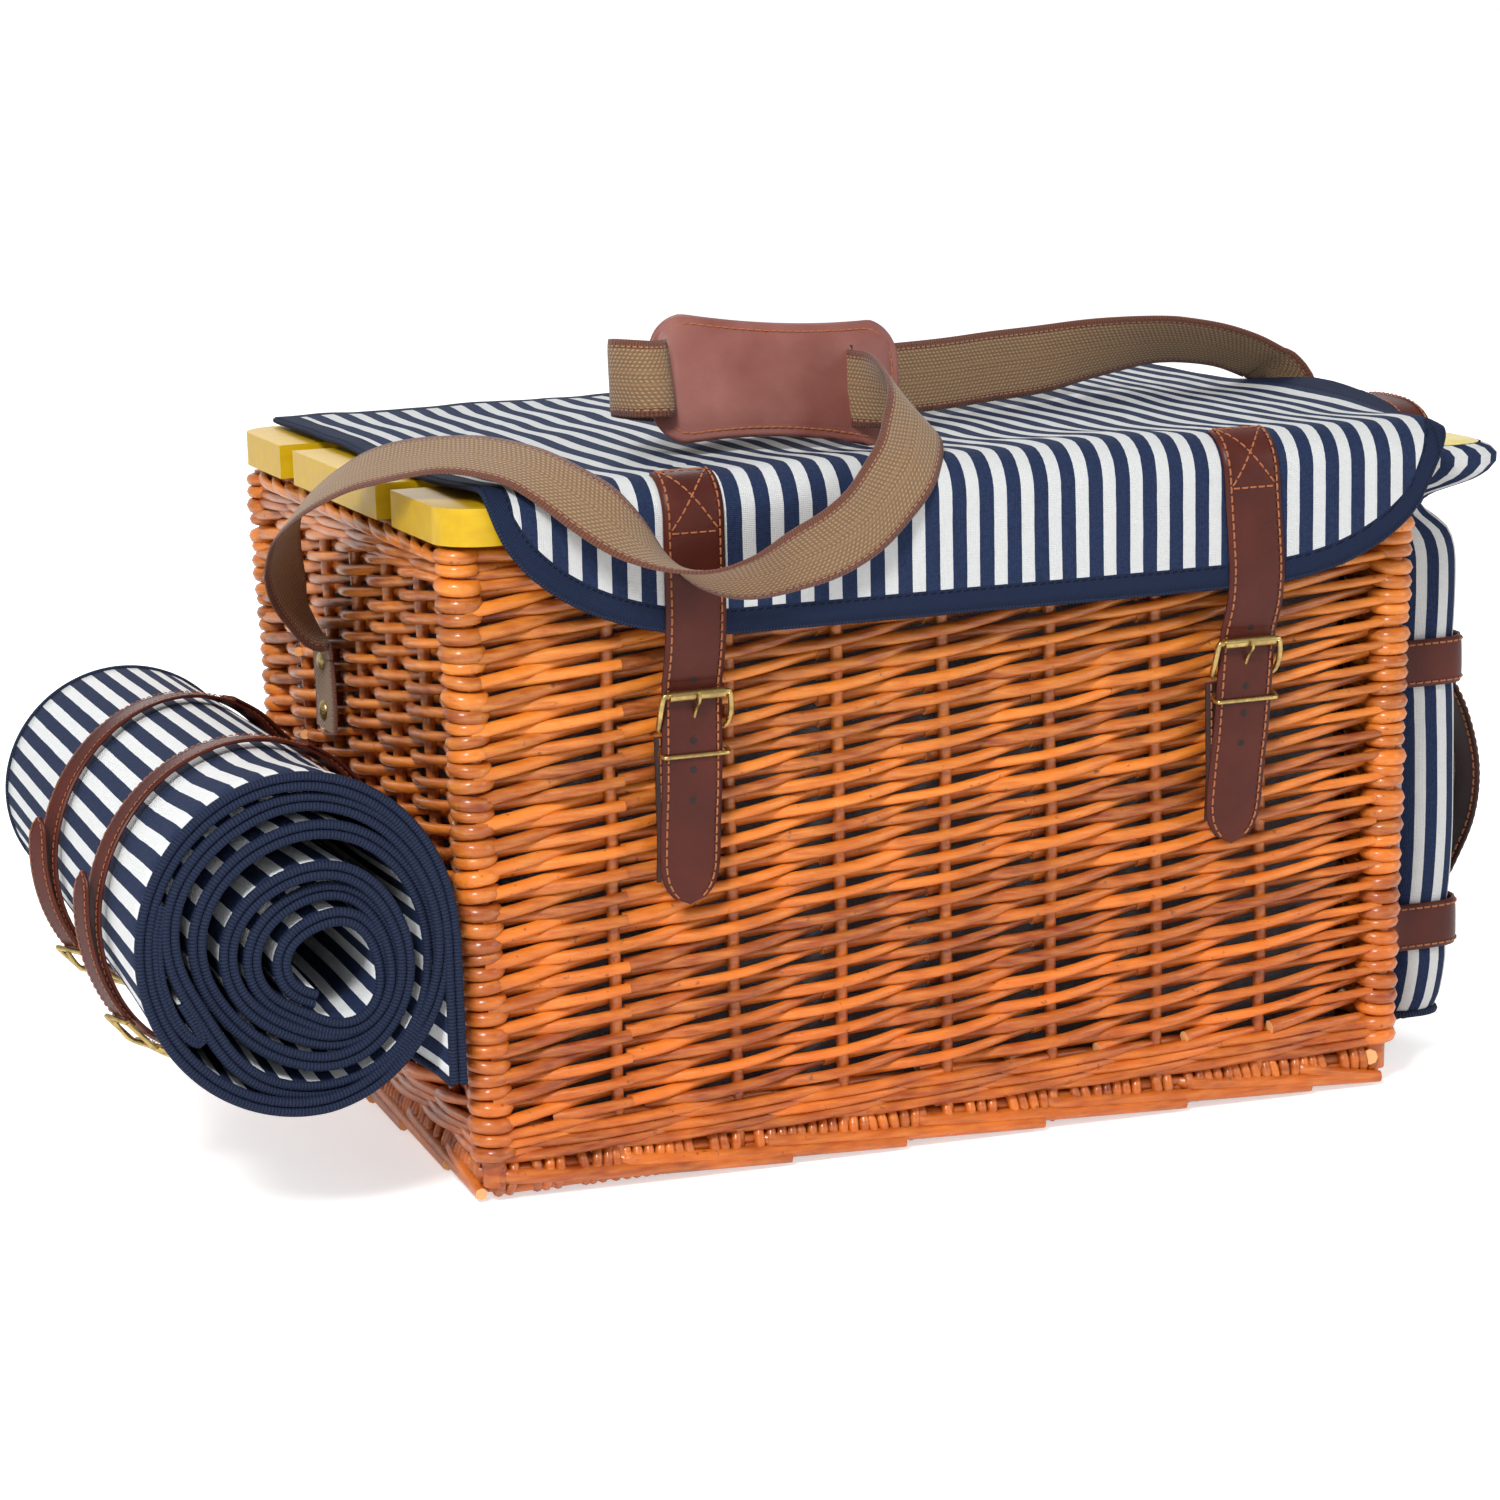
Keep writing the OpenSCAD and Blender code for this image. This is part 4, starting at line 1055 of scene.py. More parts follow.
def strap_patch(path):
    """Stitch lines of the patch at a strap's top end: a bar at each end and a cross."""
    reach = STRAP_W / 2 - 3.0
    corners = (((2.5, -reach), (2.5, reach)), ((PATCH_L, -reach), (PATCH_L, reach)),
               ((3.0, -reach), (PATCH_L - 1, reach)), ((3.0, reach), (PATCH_L - 1, -reach)))
    steps = np.linspace(0, 1, 12)
    return [[strap_spot(path, a[0] + (b[0] - a[0]) * t, a[1] + (b[1] - a[1]) * t) for t in steps]
            for a, b in corners]


def strap_holes(name, path):
    """Punched holes, drawn as dark discs of painted shade on the leather."""
    holes = Builder("rod")
    run = run_length(path)
    low = path[:, 2] < FOLD_Z
    for z in HOLE_HEIGHTS:
        spot = strap_spot(path, np.interp(-z, -path[low, 2], run[low]), 0.0)
        normal = spot[3:] / np.linalg.norm(spot[3:])
        holes.rod([spot[:3] - normal * 1.2, spot[:3] + normal * 0.12], 1.75, 14)
    holes.make(name, HOLE_SHADE, "lid")


def closing_strap(side, x):
    """A strap from the lid over the front fold and down through its buckle."""
    node = "strap_" + side
    path = strap_path(side, x)
    run = run_length(path)
    half = tongue(run, run[-1], STRAP_W / 2)
    plain_band(node + "_leather", path, half, LEATHER_T, "lid", node, LEATHER, crown=0.25)
    inset = np.maximum(half - 2.6, 0.2)
    keep = run < run[-1] - 2.0
    lines = [edge_line(path[keep, :3], path[keep, 3:], s * inset[keep], LEATHER_T + 0.5) for s in (-1, 1)]
    stitches(node + "_stitches", lines + strap_patch(path), "lid")
    strap_holes(node + "_holes", path)


def strap_tab(side, x):
    """Lower strap, fixed to the wicker, whose folded end carries the buckle's tab."""
    node = "strap_tab_" + side
    centre = x - 3.0
    rows = [(centre, -188.6, 225), (centre, -189.0, 214), (centre, -188.8, 195),
            (centre, -188.6, 175), (centre - 0.6, -187.6, 153)]
    path = band_route(rows, ALONG_X)
    plain_band(node + "_leather", path, 14.0, LEATHER_T, "basket", node, DARK_LEATHER,
               crown=0.2)
    seams(node + "_stitches", path, 11.6, LEATHER_T + 0.4, "basket")


def mirrored_wire(builder, left_half, x, radius):
    """A round wire from its left half and the mirror image of it about x."""
    places = left_half + [(-px, y, z) for px, y, z in reversed(left_half)]
    path = smooth_path([(x + px, y, z) for px, y, z in places], 1.5)
    builder.rod(path, radius, 12, up=(0.2, 1, 0.1))


def buckle_frame(side, x):
    """Round wire frame that carries the roller, and the thin keeper loop below it."""
    node = "buckle_frame_" + side
    half = STRAP_W / 2 + 2.5
    wire = Builder("rod")
    mirrored_wire(wire, [(-half + 1.5, -196.2, 229), (-half - 0.2, -198.0, 231),
                         (-half - 0.6, -201.6, 237), (-half, -203.6, 244),
                         (-half + 1.0, -204.2, 247), (-half + 4.0, -204.2, 247.3)], x, 1.45)
    mirrored_wire(wire, [(-half + 2.5, -195.0, 220), (-half + 0.6, -196.8, 218.6),
                         (-half + 0.4, -200.4, 217.2), (-half + 1.4, -201.9, 217),
                         (-half + 4.0, -202.0, 217)], x, 1.15)
    wire.make(node + "_wire", BRASS, "lid", [node])


def buckle_prong(side, x):
    """Round wire prong: an eye on the middle bar and an arm across the roller."""
    node = "buckle_prong_" + side
    low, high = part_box(node)
    pivot = np.array([x, -195.3, 229.0])
    tip_y = low[1] / MM + 1.1
    prong = Builder("rod")
    turn = np.linspace(0, 2 * math.pi, 19)
    eye = pivot + np.stack([0 * turn, 2.15 * np.cos(turn), 2.15 * np.sin(turn)], axis=1)
    prong.rod(eye, 0.6, 8, up=(1, 0, 0), ends=False)
    route = [(x, -196.9, 230.6), (x, -199.5, 235.0), (x, -203.6, 240.5),
             (x, tip_y, 244.6), (x, tip_y, high[2] / MM - 0.6)]
    arm = smooth_path(route, 1.5)
    prong.rod(arm, np.linspace(1.1, 0.8, len(arm)), 10, up=(1, 0, 0))
    prong.make(node + "_wire", BRASS, "prong_" + side, [node])


# ---- Shoulder strap ----
def shoulder_webbing():
    """One long webbing, cut where it leaves the wicker and the lid."""
    route = LEG_LEFT + FRONT_RUN + PAD_RUN + REAR_RUN + LEG_RIGHT
    path = smooth_path(route, 3.5)
    marks = [np.argmin(np.linalg.norm(path[:, :3] - np.array(p[:3]), axis=1))
             for p in (FRONT_RUN[0], REAR_RUN[-1])]
    run = run_length(path)
    parts = (("web_left", 0, marks[0], ["web_leg_left"]),
             ("web_upper", marks[0], marks[1], ["web_front", "web_pad_run", "web_rear"]),
             ("web_right", marks[1], len(path) - 1, ["web_leg_right"]))
    for name, a, b, nodes in parts:
        part = path[a:b + 1]
        web = Builder("band")
        band_piece(web, part[:, :3], part[:, 3:], WEB_W / 2, WEB_T, columns=13, start=run[a])
        if name == "web_upper":
            web.make(name, WEBBING, "lid", nodes)
            continue
        piece = web.make(name, WEBBING, None)
        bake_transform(piece)
        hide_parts(*nodes)


def rivet_domes(name, sign, y):
    """Brass rivets through the webbing's end, with a low head inside the basket."""
    rise = np.array([0, 0.6, 1.2, 1.9, 2.4, 2.6])
    radii = np.array([5.2, 5.1, 4.6, 3.4, 1.8, 0.3])
    rivets = Builder("rod")
    for z in (212, 238):
        for x in (262.4 + rise, 240.2 - rise * 0.5):
            dome = np.stack([sign * x, 0 * x + y, 0 * x + z], axis=1)
            rivets.rod(dome, radii, 20, ends=False)
    rivets.make("web_rivets_%s_domes" % name, BRASS, "basket", ["web_rivets_" + name])


def web_anchor(side, sign, y):
    """Folded end of the webbing, riveted through the wicker."""
    rows = [(sign * out, y, z) for out, z in ((261.4, 202), (260.9, 215), (261.2, 232), (261.6, 246))]
    plain_band("web_end_%s_fold" % side, band_route(rows, ALONG_Y), WEB_W / 2, WEB_T, "basket",
               "web_end_" + side, WEBBING, columns=13)
    rivet_domes(side, sign, y)


PAD_C = Vector((-58.0, -111.5, 384.5))
PAD_HALF_L, PAD_HALF_W = 67.0, 33.0
PAD_TILT, PAD_STAND = math.radians(5), math.radians(74)
PAD_TURN = Matrix.Rotation(PAD_TILT, 3, "Y") @ Matrix.Rotation(PAD_STAND, 3, "X")
PAD_MATRIX = Matrix.Translation(PAD_C) @ PAD_TURN.to_4x4()
PAD_SEAM = 4.5
PAD_BACK = 2.0
PAD_SLOTS = (-61.0, 38.0)


def pad_point(x, y, z):
    """Place of a point of the pad, which is bowed along its length."""
    bow = 0.0016 * x * x
    return tuple(PAD_MATRIX @ Vector((x, y, z - bow)))


def pad_half(x, inset=0.0):
    """Half height of the pad: round corners and gently hollowed long edges."""
    corner = 19.0 - inset * 0.5
    end = PAD_HALF_L - inset
    half = PAD_HALF_W - inset - 4.2 * max(0.0, 1 - (x / 52.0) ** 2)
    over = max(0.0, abs(x) - (end - corner))
    return half - (corner - math.sqrt(max(0.0, corner ** 2 - over ** 2)))


def pad_faces(x, y, half):
    """Height of the plump front and of the flat back at (x, y), which meet at the edge."""
    margin = min(half - abs(y), PAD_HALF_L - abs(x))
    plump = 1.2 + 1.9 * min(1.0, max(0.0, margin - PAD_SEAM) / 9.0) ** 0.6
    seam = -0.45 * math.exp(-((margin - PAD_SEAM) / 1.1) ** 2)
    crease = 0.35 * uneven(x * 0.05, y * 0.09, 2.0)
    edge = min(1.0, margin / 1.2) ** 0.5 if margin > 0 else 0.0
    return (plump + seam + crease) * edge, -PAD_BACK * edge


def shoulder_pad():
    """Stuffed leather pad with a stitched edge and a slot at each end for the webbing."""
    xs = np.linspace(-1, 1, 57)
    xs = np.sign(xs) * (1 - (1 - np.abs(xs)) ** 1.6) * PAD_HALF_L * 0.9995
    vs = np.linspace(-1, 1, 27)
    top = np.zeros((len(xs), len(vs), 3))
    low = np.zeros_like(top)
    for i, x in enumerate(xs):
        half = max(pad_half(x), 0.4)
        for j, y in enumerate(vs * half):
            front, back = pad_faces(x, y, half)
            top[i, j] = pad_point(x, y, front)
            low[i, j] = pad_point(x, y, back)
    faces = Builder("band")
    values = np.zeros_like(top)
    faces.grid(top, values)
    faces.grid(low, values, flip=True)
    pad = faces.make("shoulder_pad_leather", PAD_LEATHER, "lid", ["shoulder_pad"])
    weld(pad)


def pad_trim():
    """The pad's stitched seam, and the slots that the webbing passes through, drawn as dark bands of painted
    shade.
    """
    reach = PAD_HALF_L - PAD_SEAM
    ring = [(x, pad_half(x, PAD_SEAM)) for x in np.linspace(-reach, reach, 60)]
    outline = ring + [(x, -y) for x, y in reversed(ring)] + ring[:1]
    normal = PAD_TURN @ Vector(ALONG_Z)
    rows = [(*pad_point(x, y, 1.25), *normal) for x, y in outline]
    stitches("shoulder_pad_stitches", [rows], "lid", pitch=4.2)
    slits = Builder("band")
    for x in PAD_SLOTS:
        line = [pad_point(x, y, 2.2) for y in np.linspace(-18.4, 18.4, 8)]
        band_piece(slits, line, PAD_TURN @ Vector(ALONG_X), 1.9, 1.6, columns=5)
    slits.make("shoulder_pad_slots", HOLE_SHADE, "lid")


def weld(piece, distance=0.05):
    """Joins the points of a piece that meet at a seam."""
    mod = piece.modifiers.new("weld", "WELD")
    mod.merge_threshold = distance * MM


# ---- Blanket roll ----
ROLL_AXIS = ROLL_BACK - ROLL_FRONT
SHEET_T = 6.6
TUCK_T = 4.0
TUCK_STEP = 2.0


def roll_radius(y):
    """Outer radius of the roll at depth y."""
    t = np.clip((y - ROLL_FRONT[1]) / ROLL_AXIS[1], -0.05, 1.05)
    return ROLL_R[0] + (ROLL_R[1] - ROLL_R[0]) * t


def roll_place(px, pz, y):
    """From the front end's plane (px, pz about the axis) to the row frame at depth y."""
    y = np.broadcast_to(np.asarray(y, float), np.shape(px))
    t = (y - ROLL_FRONT[1]) / ROLL_AXIS[1]
    scale = roll_radius(y) / ROLL_R[0]
    tall = 1 + 0.075 * np.clip((-115.0 - y) / 60.0, 0, 1)
    return np.stack([ROLL_FRONT[0] + ROLL_AXIS[0] * t + px * scale, y,
                     ROLL_FRONT[2] + ROLL_AXIS[2] * t + pz * scale * tall], axis=-1)


SPIRAL_TURNS = (0.0, 1.0, 2.1, 2.6, 3.2, 4.3, 5.3, 5.8)
SPIRAL_RADII = (77.2, 70.5, 62.5, 54.0, 43.0, 34.5, 25.5, 19.0)
END_ANGLE = -52.0
POCKET_ANGLE = 203.0
# The tucked fold: degrees round the roll and distance from its axis
TUCK = [(158, 66.3), (172, 65.8), (188, 65.2), (202, 64.6), (212, 63.6), (218, 61.2), (216.5, 58.4),
        (208, 57.4), (199, 58.4)]


def pocket(angles, turns):
    """How far the layers give way to the fold that is tucked in between them."""
    away = (np.degrees(angles) - POCKET_ANGLE + 180) % 360 - 180
    fade = np.clip((turns - 1.15) / 0.3, 0, 1) * np.clip((3.4 - turns) / 1.7, 0, 1)
    return 9.0 * fade * np.exp(-(away / 32.0) ** 2)


def tuck_line():
    """The blanket's folded end under its outer layer, in the front end's plane."""
    rows = [(r * math.cos(math.radians(a)), r * math.sin(math.radians(a))) for a, r in TUCK]
    return smooth_path(rows, TUCK_STEP)


def spiral(step=2.4):
    """Rolled sheet's middle line, outer end first: place, run and angle of each point.
    Near the front its first part hangs straight down; see hang_end."""
    start = math.radians(END_ANGLE)
    angles = np.linspace(0, 2 * math.pi * SPIRAL_TURNS[-1], 1500)
    turns = angles / (2 * math.pi)
    share = turns / turns[-1]
    radius = np.interp(turns, SPIRAL_TURNS, SPIRAL_RADII)
    wobble = 1 + share ** 1.2 * (0.11 * np.sin(2 * angles + 0.7) + 0.07 * np.sin(3 * angles + 2.0))
    squeeze = np.minimum(radius * wobble, SPIRAL_RADII[0]) - pocket(start + angles, turns)
    x = squeeze * np.cos(start + angles) + 20.0 * share ** 1.1
    z = squeeze * np.sin(start + angles) - 14.0 * share ** 1.1
    run = run_length(np.stack([x, z, 0 * x], axis=1))
    at = np.arange(0, run[-1], step)
    return (np.stack([np.interp(at, run, x), np.interp(at, run, z)], axis=1), at,
            np.interp(at, run, start + angles))


def hang_end(line, angles, y):
    """Near the front the sheet's loose corner hangs straight down beside the roll."""
    weight = float(np.clip((-118.0 - y) / 60.0, 0, 1))
    weight = weight * weight * (3 - 2 * weight)
    loose = np.where(angles < 0, weight, 0.0)[:, None]
    straight = np.stack([np.full(len(line), SPIRAL_RADII[0]), SPIRAL_RADII[0] * angles], axis=1)
    return line * (1 - loose) + straight * loose


class Roll:
    """The blanket: a doubled cloth rolled into a spiral, with bound edges at both ends."""

    def __init__(self):
        self.line, self.run, self.angles = spiral()
        self.depths = np.linspace(ROLL_FRONT[1] + 1, ROLL_BACK[1] - 2, 24)
        share = self.run / self.run[-1]
        sway = np.array([uneven(r * 0.018, 0.4, 2.2) for r in self.run])
        sunk = 9.0 * share ** 1.5 + 5.0 * sway * np.clip(share * 3, 0, 1)
        self.sunk = np.maximum(sunk, 0.0)

    def layer(self, y, offset, tucked=False):
        """The spiral at depth y, offset from its middle; tucked gives the tucked fold."""
        flat = tuck_line() if tucked else hang_end(self.line, self.angles, y)
        along = unit(np.gradient(flat, axis=0))
        out = np.stack([along[:, 1], -along[:, 0]], axis=1)
        spots = flat + out * offset
        front = float(np.clip((-130.0 - y) / 55.0, 0, 1))
        return roll_place(spots[:, 0], spots[:, 1], y + (0.0 if tucked else front * self.sunk))

    def grid(self, builder, thickness, tucked):
        """Both faces and both ends of the cloth."""
        outer, inner = (np.stack([self.layer(y, side * thickness / 2, tucked) for y in self.depths], axis=1)
                        for side in (1, -1))
        values = np.ones_like(outer)
        run = TUCK_STEP * np.arange(len(outer)) if tucked else self.run
        values[..., 0] = run[:, None] * MM
        values[..., 1] = self.depths[None] * MM
        loop = np.concatenate([outer, inner[:, ::-1]], axis=1)
        marks = np.concatenate([values, values[:, ::-1]], axis=1)
        builder.grid(loop, marks, closed=True)
        for i, flip in ((0, True), (-1, False)):
            builder.grid(np.stack([outer[i], inner[i]]), np.stack([values[i], values[i]]), flip=flip)

    def sheet(self):
        """The cloth and its tucked fold, as one piece."""
        cloth = Builder("cloth")
        self.grid(cloth, SHEET_T, False)
        self.grid(cloth, TUCK_T, True)
        piece = cloth.make("blanket_sheet", BLANKET, "blanket", ["blanket_roll"])

    def binding(self):
        """Bound edges: round the spiral's two ends and along the loose corner's hem."""
        cord = Builder("band")
        for y in (ROLL_FRONT[1] + 0.4, ROLL_BACK[1] - 1.2):
            for offset, radius, tucked in ((-2.15, 2.4, False), (2.15, 2.4, False),
                                           (-1.1, 1.7, True), (1.1, 1.7, True)):
                cord.rod(self.layer(y, offset, tucked), radius, 8, up=ALONG_Y)
        loose = [y for y in self.depths if y < -125]
        for offset in (3.0, -3.0):
            hem = np.stack([self.layer(y, offset)[0] for y in loose])
            cord.rod(hem, 2.2, 8)
        cord.make("blanket_binding", BINDING, "blanket")


def belt_spot(y0, slant, angle, lift):
    """Place on a belt round the roll at an angle from +X; angles are in degrees."""
    a = math.radians(angle)
    y = y0
    for _ in range(6):
        t = (y - ROLL_FRONT[1]) / ROLL_AXIS[1]
        centre = ROLL_FRONT + ROLL_AXIS * t
        radius = roll_radius(y) + lift
        x = centre[0] + radius * math.cos(a)
        y = y0 + math.tan(math.radians(slant)) * (x - ROLL_FRONT[0])
    return np.array([x, y, centre[2] + radius * math.sin(a)])


BELT_W, BELT_T = 13.0, 2.2
BELT_LIFT = 0.9 + BELT_T / 2
BUCKLE_ANGLE = 221.0


def belt_tip(y0, slant):
    """The belt's loose end, which stands away from the roll below its buckle."""
    angles = np.arange(BUCKLE_ANGLE - 3, 158, -3.0)
    stand = 2.6 + 6.5 * ((BUCKLE_ANGLE - angles) / 64) ** 2
    return np.stack([belt_spot(y0, slant, a, BELT_LIFT + gap) for a, gap in zip(angles, stand)])


def belt_lug(y0, slant):
    """The short strap from the belt to its stud on the wicker."""
    rise = math.tan(math.radians(slant))
    lug = [belt_spot(y0, slant, angle, BELT_LIFT + gap) for angle, gap in ((62, 2.4), (48, 2.8), (34, 4.0))]
    lug += [np.array([-262.0, y0 + rise * 80, 180.0]), np.array([-256.2, y0 + rise * 80 + 1, 172.0])]
    return smooth_path(lug, 3.0)


def blanket_belt(side, y0, slant):
    """A slanted belt round the roll, its loose end and its lug."""
    node = "blanket_belt_" + side
    wide = np.array([-math.sin(math.radians(slant)), math.cos(math.radians(slant)), 0.0])
    loop = np.stack([belt_spot(y0, slant, a, BELT_LIFT) for a in np.arange(35, 35 + 361, 4.0)])
    tip = belt_tip(y0, slant)
    run = run_length(tip)
    half = tongue(run, run[-1], BELT_W / 2, 16.0)
    belt = Builder("band")
    band_piece(belt, loop, wide, BELT_W / 2, BELT_T, columns=7, crown=0.2)
    band_piece(belt, belt_lug(y0, slant), wide, BELT_W / 2, BELT_T, columns=7)
    band_piece(belt, tip, wide, half, BELT_T, columns=7)
    belt.make(node + "_leather", LEATHER, "basket", [node])
    lines = []
    for s in (-1, 1):
        lines.append(edge_line(loop, wide, s * (BELT_W / 2 - 1.8), BELT_T + 0.7, -1))
        lines.append(edge_line(tip, wide, s * np.maximum(half - 1.8, 0.2), BELT_T + 0.4))
    stitches(node + "_stitches", lines, "basket", pitch=3.8, length=2.5, radius=0.28, sides=4)


def belt_loop(wires, y0, slant, angle, lift, reach):
    """A square wire loop that lies on the belt."""
    wide = np.array([-math.sin(math.radians(slant)), 1, 0]) * 9.3
    corners = [belt_spot(y0, slant, angle + turn * reach, lift) + side * wide
               for turn, side in ((-1, -1), (-1, 1), (1, 1), (1, -1), (-1, -1))]
    steps = np.linspace(0, 1, 5)[:, None]
    for a, b in zip(corners, corners[1:]):
        wires.rod(a + (b - a) * steps, 1.35, 8, up=(0.3, 0.1, 0.9))


def belt_buckles():
    """Wire buckle and keeper on each belt, low on the outer side."""
    wires = Builder("rod")
    for y0, slant in BELTS.values():
        belt_loop(wires, y0, slant, BUCKLE_ANGLE, 7.4, 6.8)
        belt_loop(wires, y0, slant, BUCKLE_ANGLE + 14, 6.2, 6.2)
        pin = [belt_spot(y0, slant, BUCKLE_ANGLE + turn, lift)
               for turn, lift in ((7, 7.0), (1, 9.6), (-7, 8.8))]
        wires.rod(smooth_path(pin, 2), 1.1, 8, up=ALONG_Y)
    wires.make("belt_buckle_wires", BRASS, "basket", ["belt_buckles"])


# ---- Cooler bag ----
BAG_CORNER = 13.0
BAG_STEP = 5.0


def bag_section(x0, x1, half_y, z, corner=BAG_CORNER, bulge=0.02, count=97):
    """A level ring round the bag, whose outer face bulges a little."""
    half_x = (x1 - x0) / 2
    ring, at = rounded_ring(half_x, half_y, min(corner, half_x * 0.96), count)
    mid_y = (BAG_Y[0] + BAG_Y[1]) / 2
    swell = 1 + bulge * np.cos(np.clip(ring[:, 1] / half_y, -1, 1) * math.pi / 2)
    x = (x0 + x1) / 2 + ring[:, 0] * np.where(ring[:, 0] > 0, swell, 1.0)
    return np.stack([x, ring[:, 1] + mid_y, np.full(count, z)], axis=1), at


BAG_PROFILE = [
    # height, inner x, outer x, half width
    (22.6, 268.0, 292.0, 66.0), (26.0, 264.0, 298.5, 71.0), (34.0, 262.9, 303.0, 73.0),
    (55.0, 262.8, 306.5, 74.0), (75.0, 262.8, 306.0, 73.4), (96.0, 262.8, 308.5, 74.0),
    (130.0, 262.8, 310.0, 74.3), (165.0, 262.8, 310.8, 74.3), (195.0, 262.8, 310.4, 74.0),
    (217.0, 262.8, 309.5, 73.4), (240.0, 262.8, 311.0, 73.6), (262.0, 262.9, 312.0, 73.4),
    (276.0, 263.2, 311.6, 72.8), (286.0, 263.8, 308.0, 71.8), (294.0, 264.6, 299.0, 70.0),
    (299.5, 265.2, 292.0, 69.2), (304.0, 265.0, 298.0, 70.0), (308.0, 264.4, 312.0, 71.6),
    (311.0, 263.9, 323.0, 73.0), (315.0, 263.6, 331.0, 74.0), (319.5, 263.5, 335.5, 74.4),
    (324.0, 264.0, 336.0, 74.2), (327.5, 265.0, 333.0, 73.2), (330.0, 266.2, 327.5, 72.0),
]
BAG_INSIDE = [
    (330.2, 266.9, 326.5, 71.6), (332.4, 268.2, 319.0, 70.2), (331.5, 269.0, 308.0, 68.6),
    (320.0, 269.2, 296.0, 67.0), (308.0, 269.4, 288.0, 66.0), (299.0, 269.4, 286.0, 65.4),
    (280.0, 268.6, 300.0, 67.5), (255.0, 268.4, 305.5, 69.0), (150.0, 268.4, 304.5, 69.2),
    (60.0, 268.4, 300.0, 69.0), (30.0, 272.0, 290.0, 64.0),
]


def bag_shell(profile, builder, stripes):
    """A soft loft through the profile, dented and puckered under the collar."""
    rows, marks = [], []
    for z, x0, x1, half_y in smooth_path(profile, BAG_STEP):
        ring, at = bag_section(x0, x1, half_y, z, corner=17.0)
        for k, place in enumerate(ring):
            dent = uneven(place[0] * 0.03, place[1] * 0.03, z * 0.02)
            pucker = uneven(at[k] * 0.09, 0.0, 7.0) * math.exp(-((z - 300) / 26) ** 2)
            if place[0] > 275:
                place[0] += 0.7 * dent + 2.4 * pucker
        rows.append(ring)
        marks.append(np.stack([stripes * MM, np.full(len(at), z * MM), np.ones(len(at))], axis=1))
    builder.grid(np.stack(rows), np.stack(marks))


def bag_floor(builder, stripes):
    """The bag's flat underside."""
    ring, _ = bag_section(268.0, 292.0, 66.0, 22.6)
    middle = ring.mean(0)
    inner = np.stack([ring, (ring - middle) * [0.02, 0.02, 1] + middle])
    marks = np.zeros_like(inner)
    marks[..., 0] = stripes[None] * MM
    marks[..., 2] = 1.0
    builder.grid(inner, marks, flip=True)


def cooler_bag():
    """Soft striped bag: pinched under its collar, which flops outwards over a yellow lining."""
    _, stripes = bag_section(262.6, 315.4, 74.0, 0)
    outer = Builder("cloth")
    bag_shell(BAG_PROFILE, outer, stripes)
    bag_floor(outer, stripes)
    bag = outer.make("bag_shell", BAG_CANVAS, "cooler_bag", ["bag_body", "bag_collar"])
    lining = Builder("cloth")
    bag_shell(BAG_INSIDE, lining, stripes)
    lining.make("bag_lining_sheet", YELLOW, "cooler_bag", ["bag_lining"])
    piping = Builder("band")
    ring, _ = bag_section(264.2, 298.8, 71.5, 26.0, count=121)
    piping.rod(ring, 2.0, 8, ends=False)
    piping.make("bag_piping", BINDING, "cooler_bag")


def bag_handle():
    """Carry handle that stands over the collar; its front half, top and mirrored back half."""
    x, middle, top = 303, -70, 347.8
    half = [(-42, 331.5), (-40, 337), (-33, 343), (-21, 346.6)]
    rows = [(x, middle + y, z) for y, z in half] + [(x, middle, top)]
    rows += [(x, middle - y, z) for y, z in reversed(half)]
    path = band_route(rows, ALONG_X)
    plain_band("bag_handle_leather", path, 8.8, LEATHER_T, "cooler_bag", "bag_handle", LEATHER,
               crown=0.3)
    seams("bag_handle_stitches", path, 6.6, LEATHER_T + 0.5, "cooler_bag", faces=(-1, 1))


def bag_band(name, z, outer):
    """Leather band that is riveted to the wicker and hugs three sides of the bag."""
    gap = 2.6
    front, back = BAG_Y[0] - gap + 0.4, BAG_Y[1] + gap - 0.4
    half = [(257.2, -166.0), (259.0, -158.5), (264.0, -153.8), (272.0, front), (outer - 18, front),
            (outer - 6, front + 2.2), (outer + 0.6, front + 9), (outer + gap, front + 22)]
    plan = half + [(outer + gap, -76.0)] + [(x, front + back - y) for x, y in reversed(half)]
    path = band_route([(x, y, z) for x, y in plan], ALONG_Z)
    plain_band(name + "_leather", path, 12.5, 2.5, "basket", name, LEATHER, crown=0.15)
    _, _, out = band_frames(path[:, :3], path[:, 3:])
    facing = 1 if out[len(out) // 2][0] > 0 else -1
    seams(name + "_stitches", path, 10.2, 2.9, "basket", faces=(facing,))


def harness():
    """Leather bands round the bag, and the upright sling with its hand loop."""
    bag_band("harness_band_upper", 217.0, 310.0)
    bag_band("harness_band_lower", 75.0, 306.8)
    x = 316.2
    rows = [(x, 240), (x + 0.2, 222), (x + 4, 205), (x + 16, 180), (x + 23, 150), (x + 20, 122),
            (x + 8, 97), (x - 1, 82), (x - 3, 60), (x - 5, 34), (x - 9, 21.5), (x - 16, 16.2),
            (x - 24, 15.5), (280, 15.5), (254, 15.5)]
    path = band_route([(px, -102.0, z) for px, z in rows], ALONG_Y)
    plain_band("harness_sling_leather", path, 13.0, LEATHER_T, "basket", "harness_sling", DARK_LEATHER,
               crown=0.2)
    seams("harness_sling_stitches", path, 10.6, LEATHER_T + 0.4, "basket", faces=(-1, 1))


# ---- Camera, paper and lamps ----
CAMERA_PLACE = Vector((-815.7, -2071.15, 604.6))
CAMERA_TURN = (20.568, 10.989, -1.662)
CAMERA_LENS = 101.17
AIM = Vector((0, 0, 0.18))
PAPER_HALF = 15.0
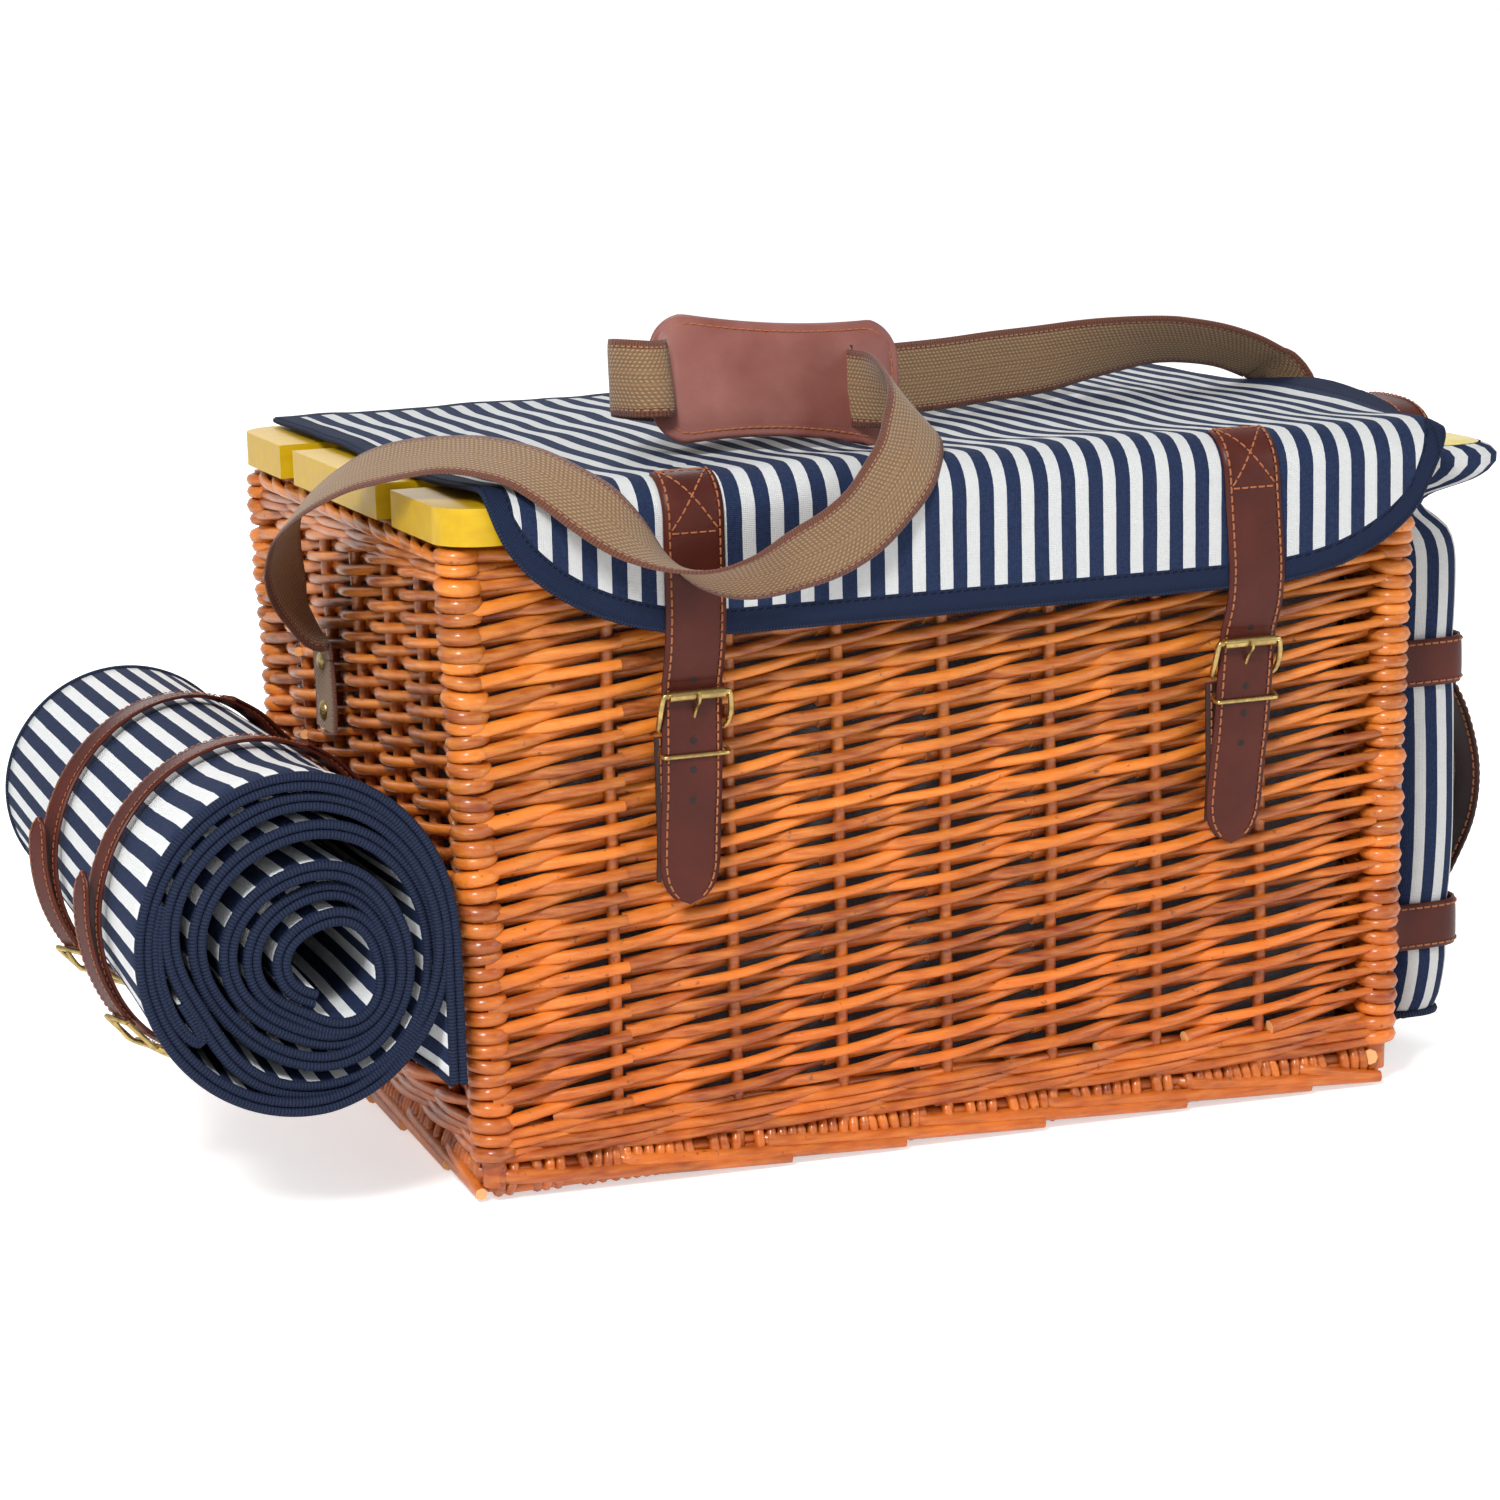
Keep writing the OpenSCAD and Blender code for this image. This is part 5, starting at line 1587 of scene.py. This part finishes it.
# The paper's curve behind the object: depth and height in metres
PAPER_CURVE = [(-15.0, 0.0), (4.6, 0.0), (5.4, 0.08), (6.2, 0.4), (6.9, 1.0), (7.3, 1.9), (7.45, 3.0),
               (7.5, 9.0)]
# Name, place in metres, size in metres and power in watts
LAMPS = (("key", (-1.5, -1.9, 2.1), 0.7, 74), ("fill", (2.3, -1.9, 1.2), 1.6, 18),
         ("back", (0.4, 2.4, 2.4), 1.6, 40))


def camera():
    """The viewpoint: turned about the vertical, pitched down and rolled a little."""
    yaw, pitch, roll = (math.radians(v) for v in CAMERA_TURN)
    ahead = Vector((math.sin(yaw) * math.cos(pitch), math.cos(yaw) * math.cos(pitch), -math.sin(pitch)))
    right = Vector((math.cos(yaw), -math.sin(yaw), 0))
    up = right.cross(ahead)
    side = math.cos(roll) * right + math.sin(roll) * up
    top = -math.sin(roll) * right + math.cos(roll) * up
    data = bpy.data.cameras.new("camera")
    data.sensor_width = 36.0
    data.lens = CAMERA_LENS
    item = place_in_scene("camera", data)
    turn = Matrix((side, top, -ahead)).transposed().to_4x4()
    item.matrix_world = Matrix.Translation(CAMERA_PLACE * MM) @ turn
    bpy.context.scene.camera = item


def paper_floor():
    """White paper that curves up behind the object and glows a little."""
    sheet = bpy.data.meshes.new("floor")
    points = [(x, y, z - 0.0006) for y, z in PAPER_CURVE for x in (-PAPER_HALF, PAPER_HALF)]
    quads = [(2 * i, 2 * i + 1, 2 * i + 3, 2 * i + 2) for i in range(len(PAPER_CURVE) - 1)]
    sheet.from_pydata(points, [], quads)
    sheet.polygons.foreach_set("use_smooth", [True] * len(quads))
    paper = Shader("paper", 0.9)
    paper.color((0.86, 0.86, 0.86))
    paper.put(paper.bsdf.inputs["Emission Color"], (1.0, 1.0, 1.0))
    seen = paper.tree.nodes.new("ShaderNodeLightPath").outputs["Is Camera Ray"]
    paper.put(paper.bsdf.inputs["Emission Strength"], paper.ramp(seen, 0.0, 1.0, 0.3, 0.56))
    sheet.materials.append(paper.mat)
    place_in_scene("floor", sheet)


def soft_light():
    """A pale studio with three area lamps that face the basket."""
    world = bpy.data.worlds.new("studio")
    world.use_nodes = True
    color, strength = world.node_tree.nodes["Background"].inputs[:2]
    color.default_value = (1, 1, 1, 1)
    strength.default_value = 0.42
    bpy.context.scene.world = world
    bpy.context.scene.view_settings.view_transform = "Standard"
    for name, place, size, power in LAMPS:
        light = bpy.data.lights.new(name, "AREA")
        light.size = size
        light.energy = power
        lamp = place_in_scene(name, light)
        lamp.location = place
        lamp.rotation_euler = (AIM - Vector(place)).to_track_quat("-Z", "Y").to_euler()


# ---- Scene ----
camera()
paper_floor()
soft_light()
for wall_name, wall_shape in WALLS.items():
    weave_wall(wall_name, wall_shape)
corner_posts()
stakes()
basket_borders()
base_weave()
inner_lining()
repaint(PAINT, "front_plank", "middle_plank", "back_plank", edge=1.8)
repaint(PAINT, "battens", edge=1.0)
repaint(BRASS, "batten_screws", "hinge_leaves_fixed", "hinge_leaves_moving", "hinge_pins", "hinge_screws",
        "buckle_roller_left", "buckle_roller_right",
        "harness_rivets")
canvas_cover()
for strap_side, strap_x in STRAPS.items():
    closing_strap(strap_side, strap_x)
    strap_tab(strap_side, strap_x)
    buckle_frame(strap_side, strap_x)
    buckle_prong(strap_side, strap_x)
shoulder_webbing()
web_anchor("left", -1, 34.0)
web_anchor("right", 1, 51.0)
shoulder_pad()
pad_trim()
blanket = Roll()
blanket.sheet()
blanket.binding()
for belt_side, (belt_y, belt_slant) in BELTS.items():
    blanket_belt(belt_side, belt_y, belt_slant)
belt_buckles()
cooler_bag()
bag_handle()
harness()
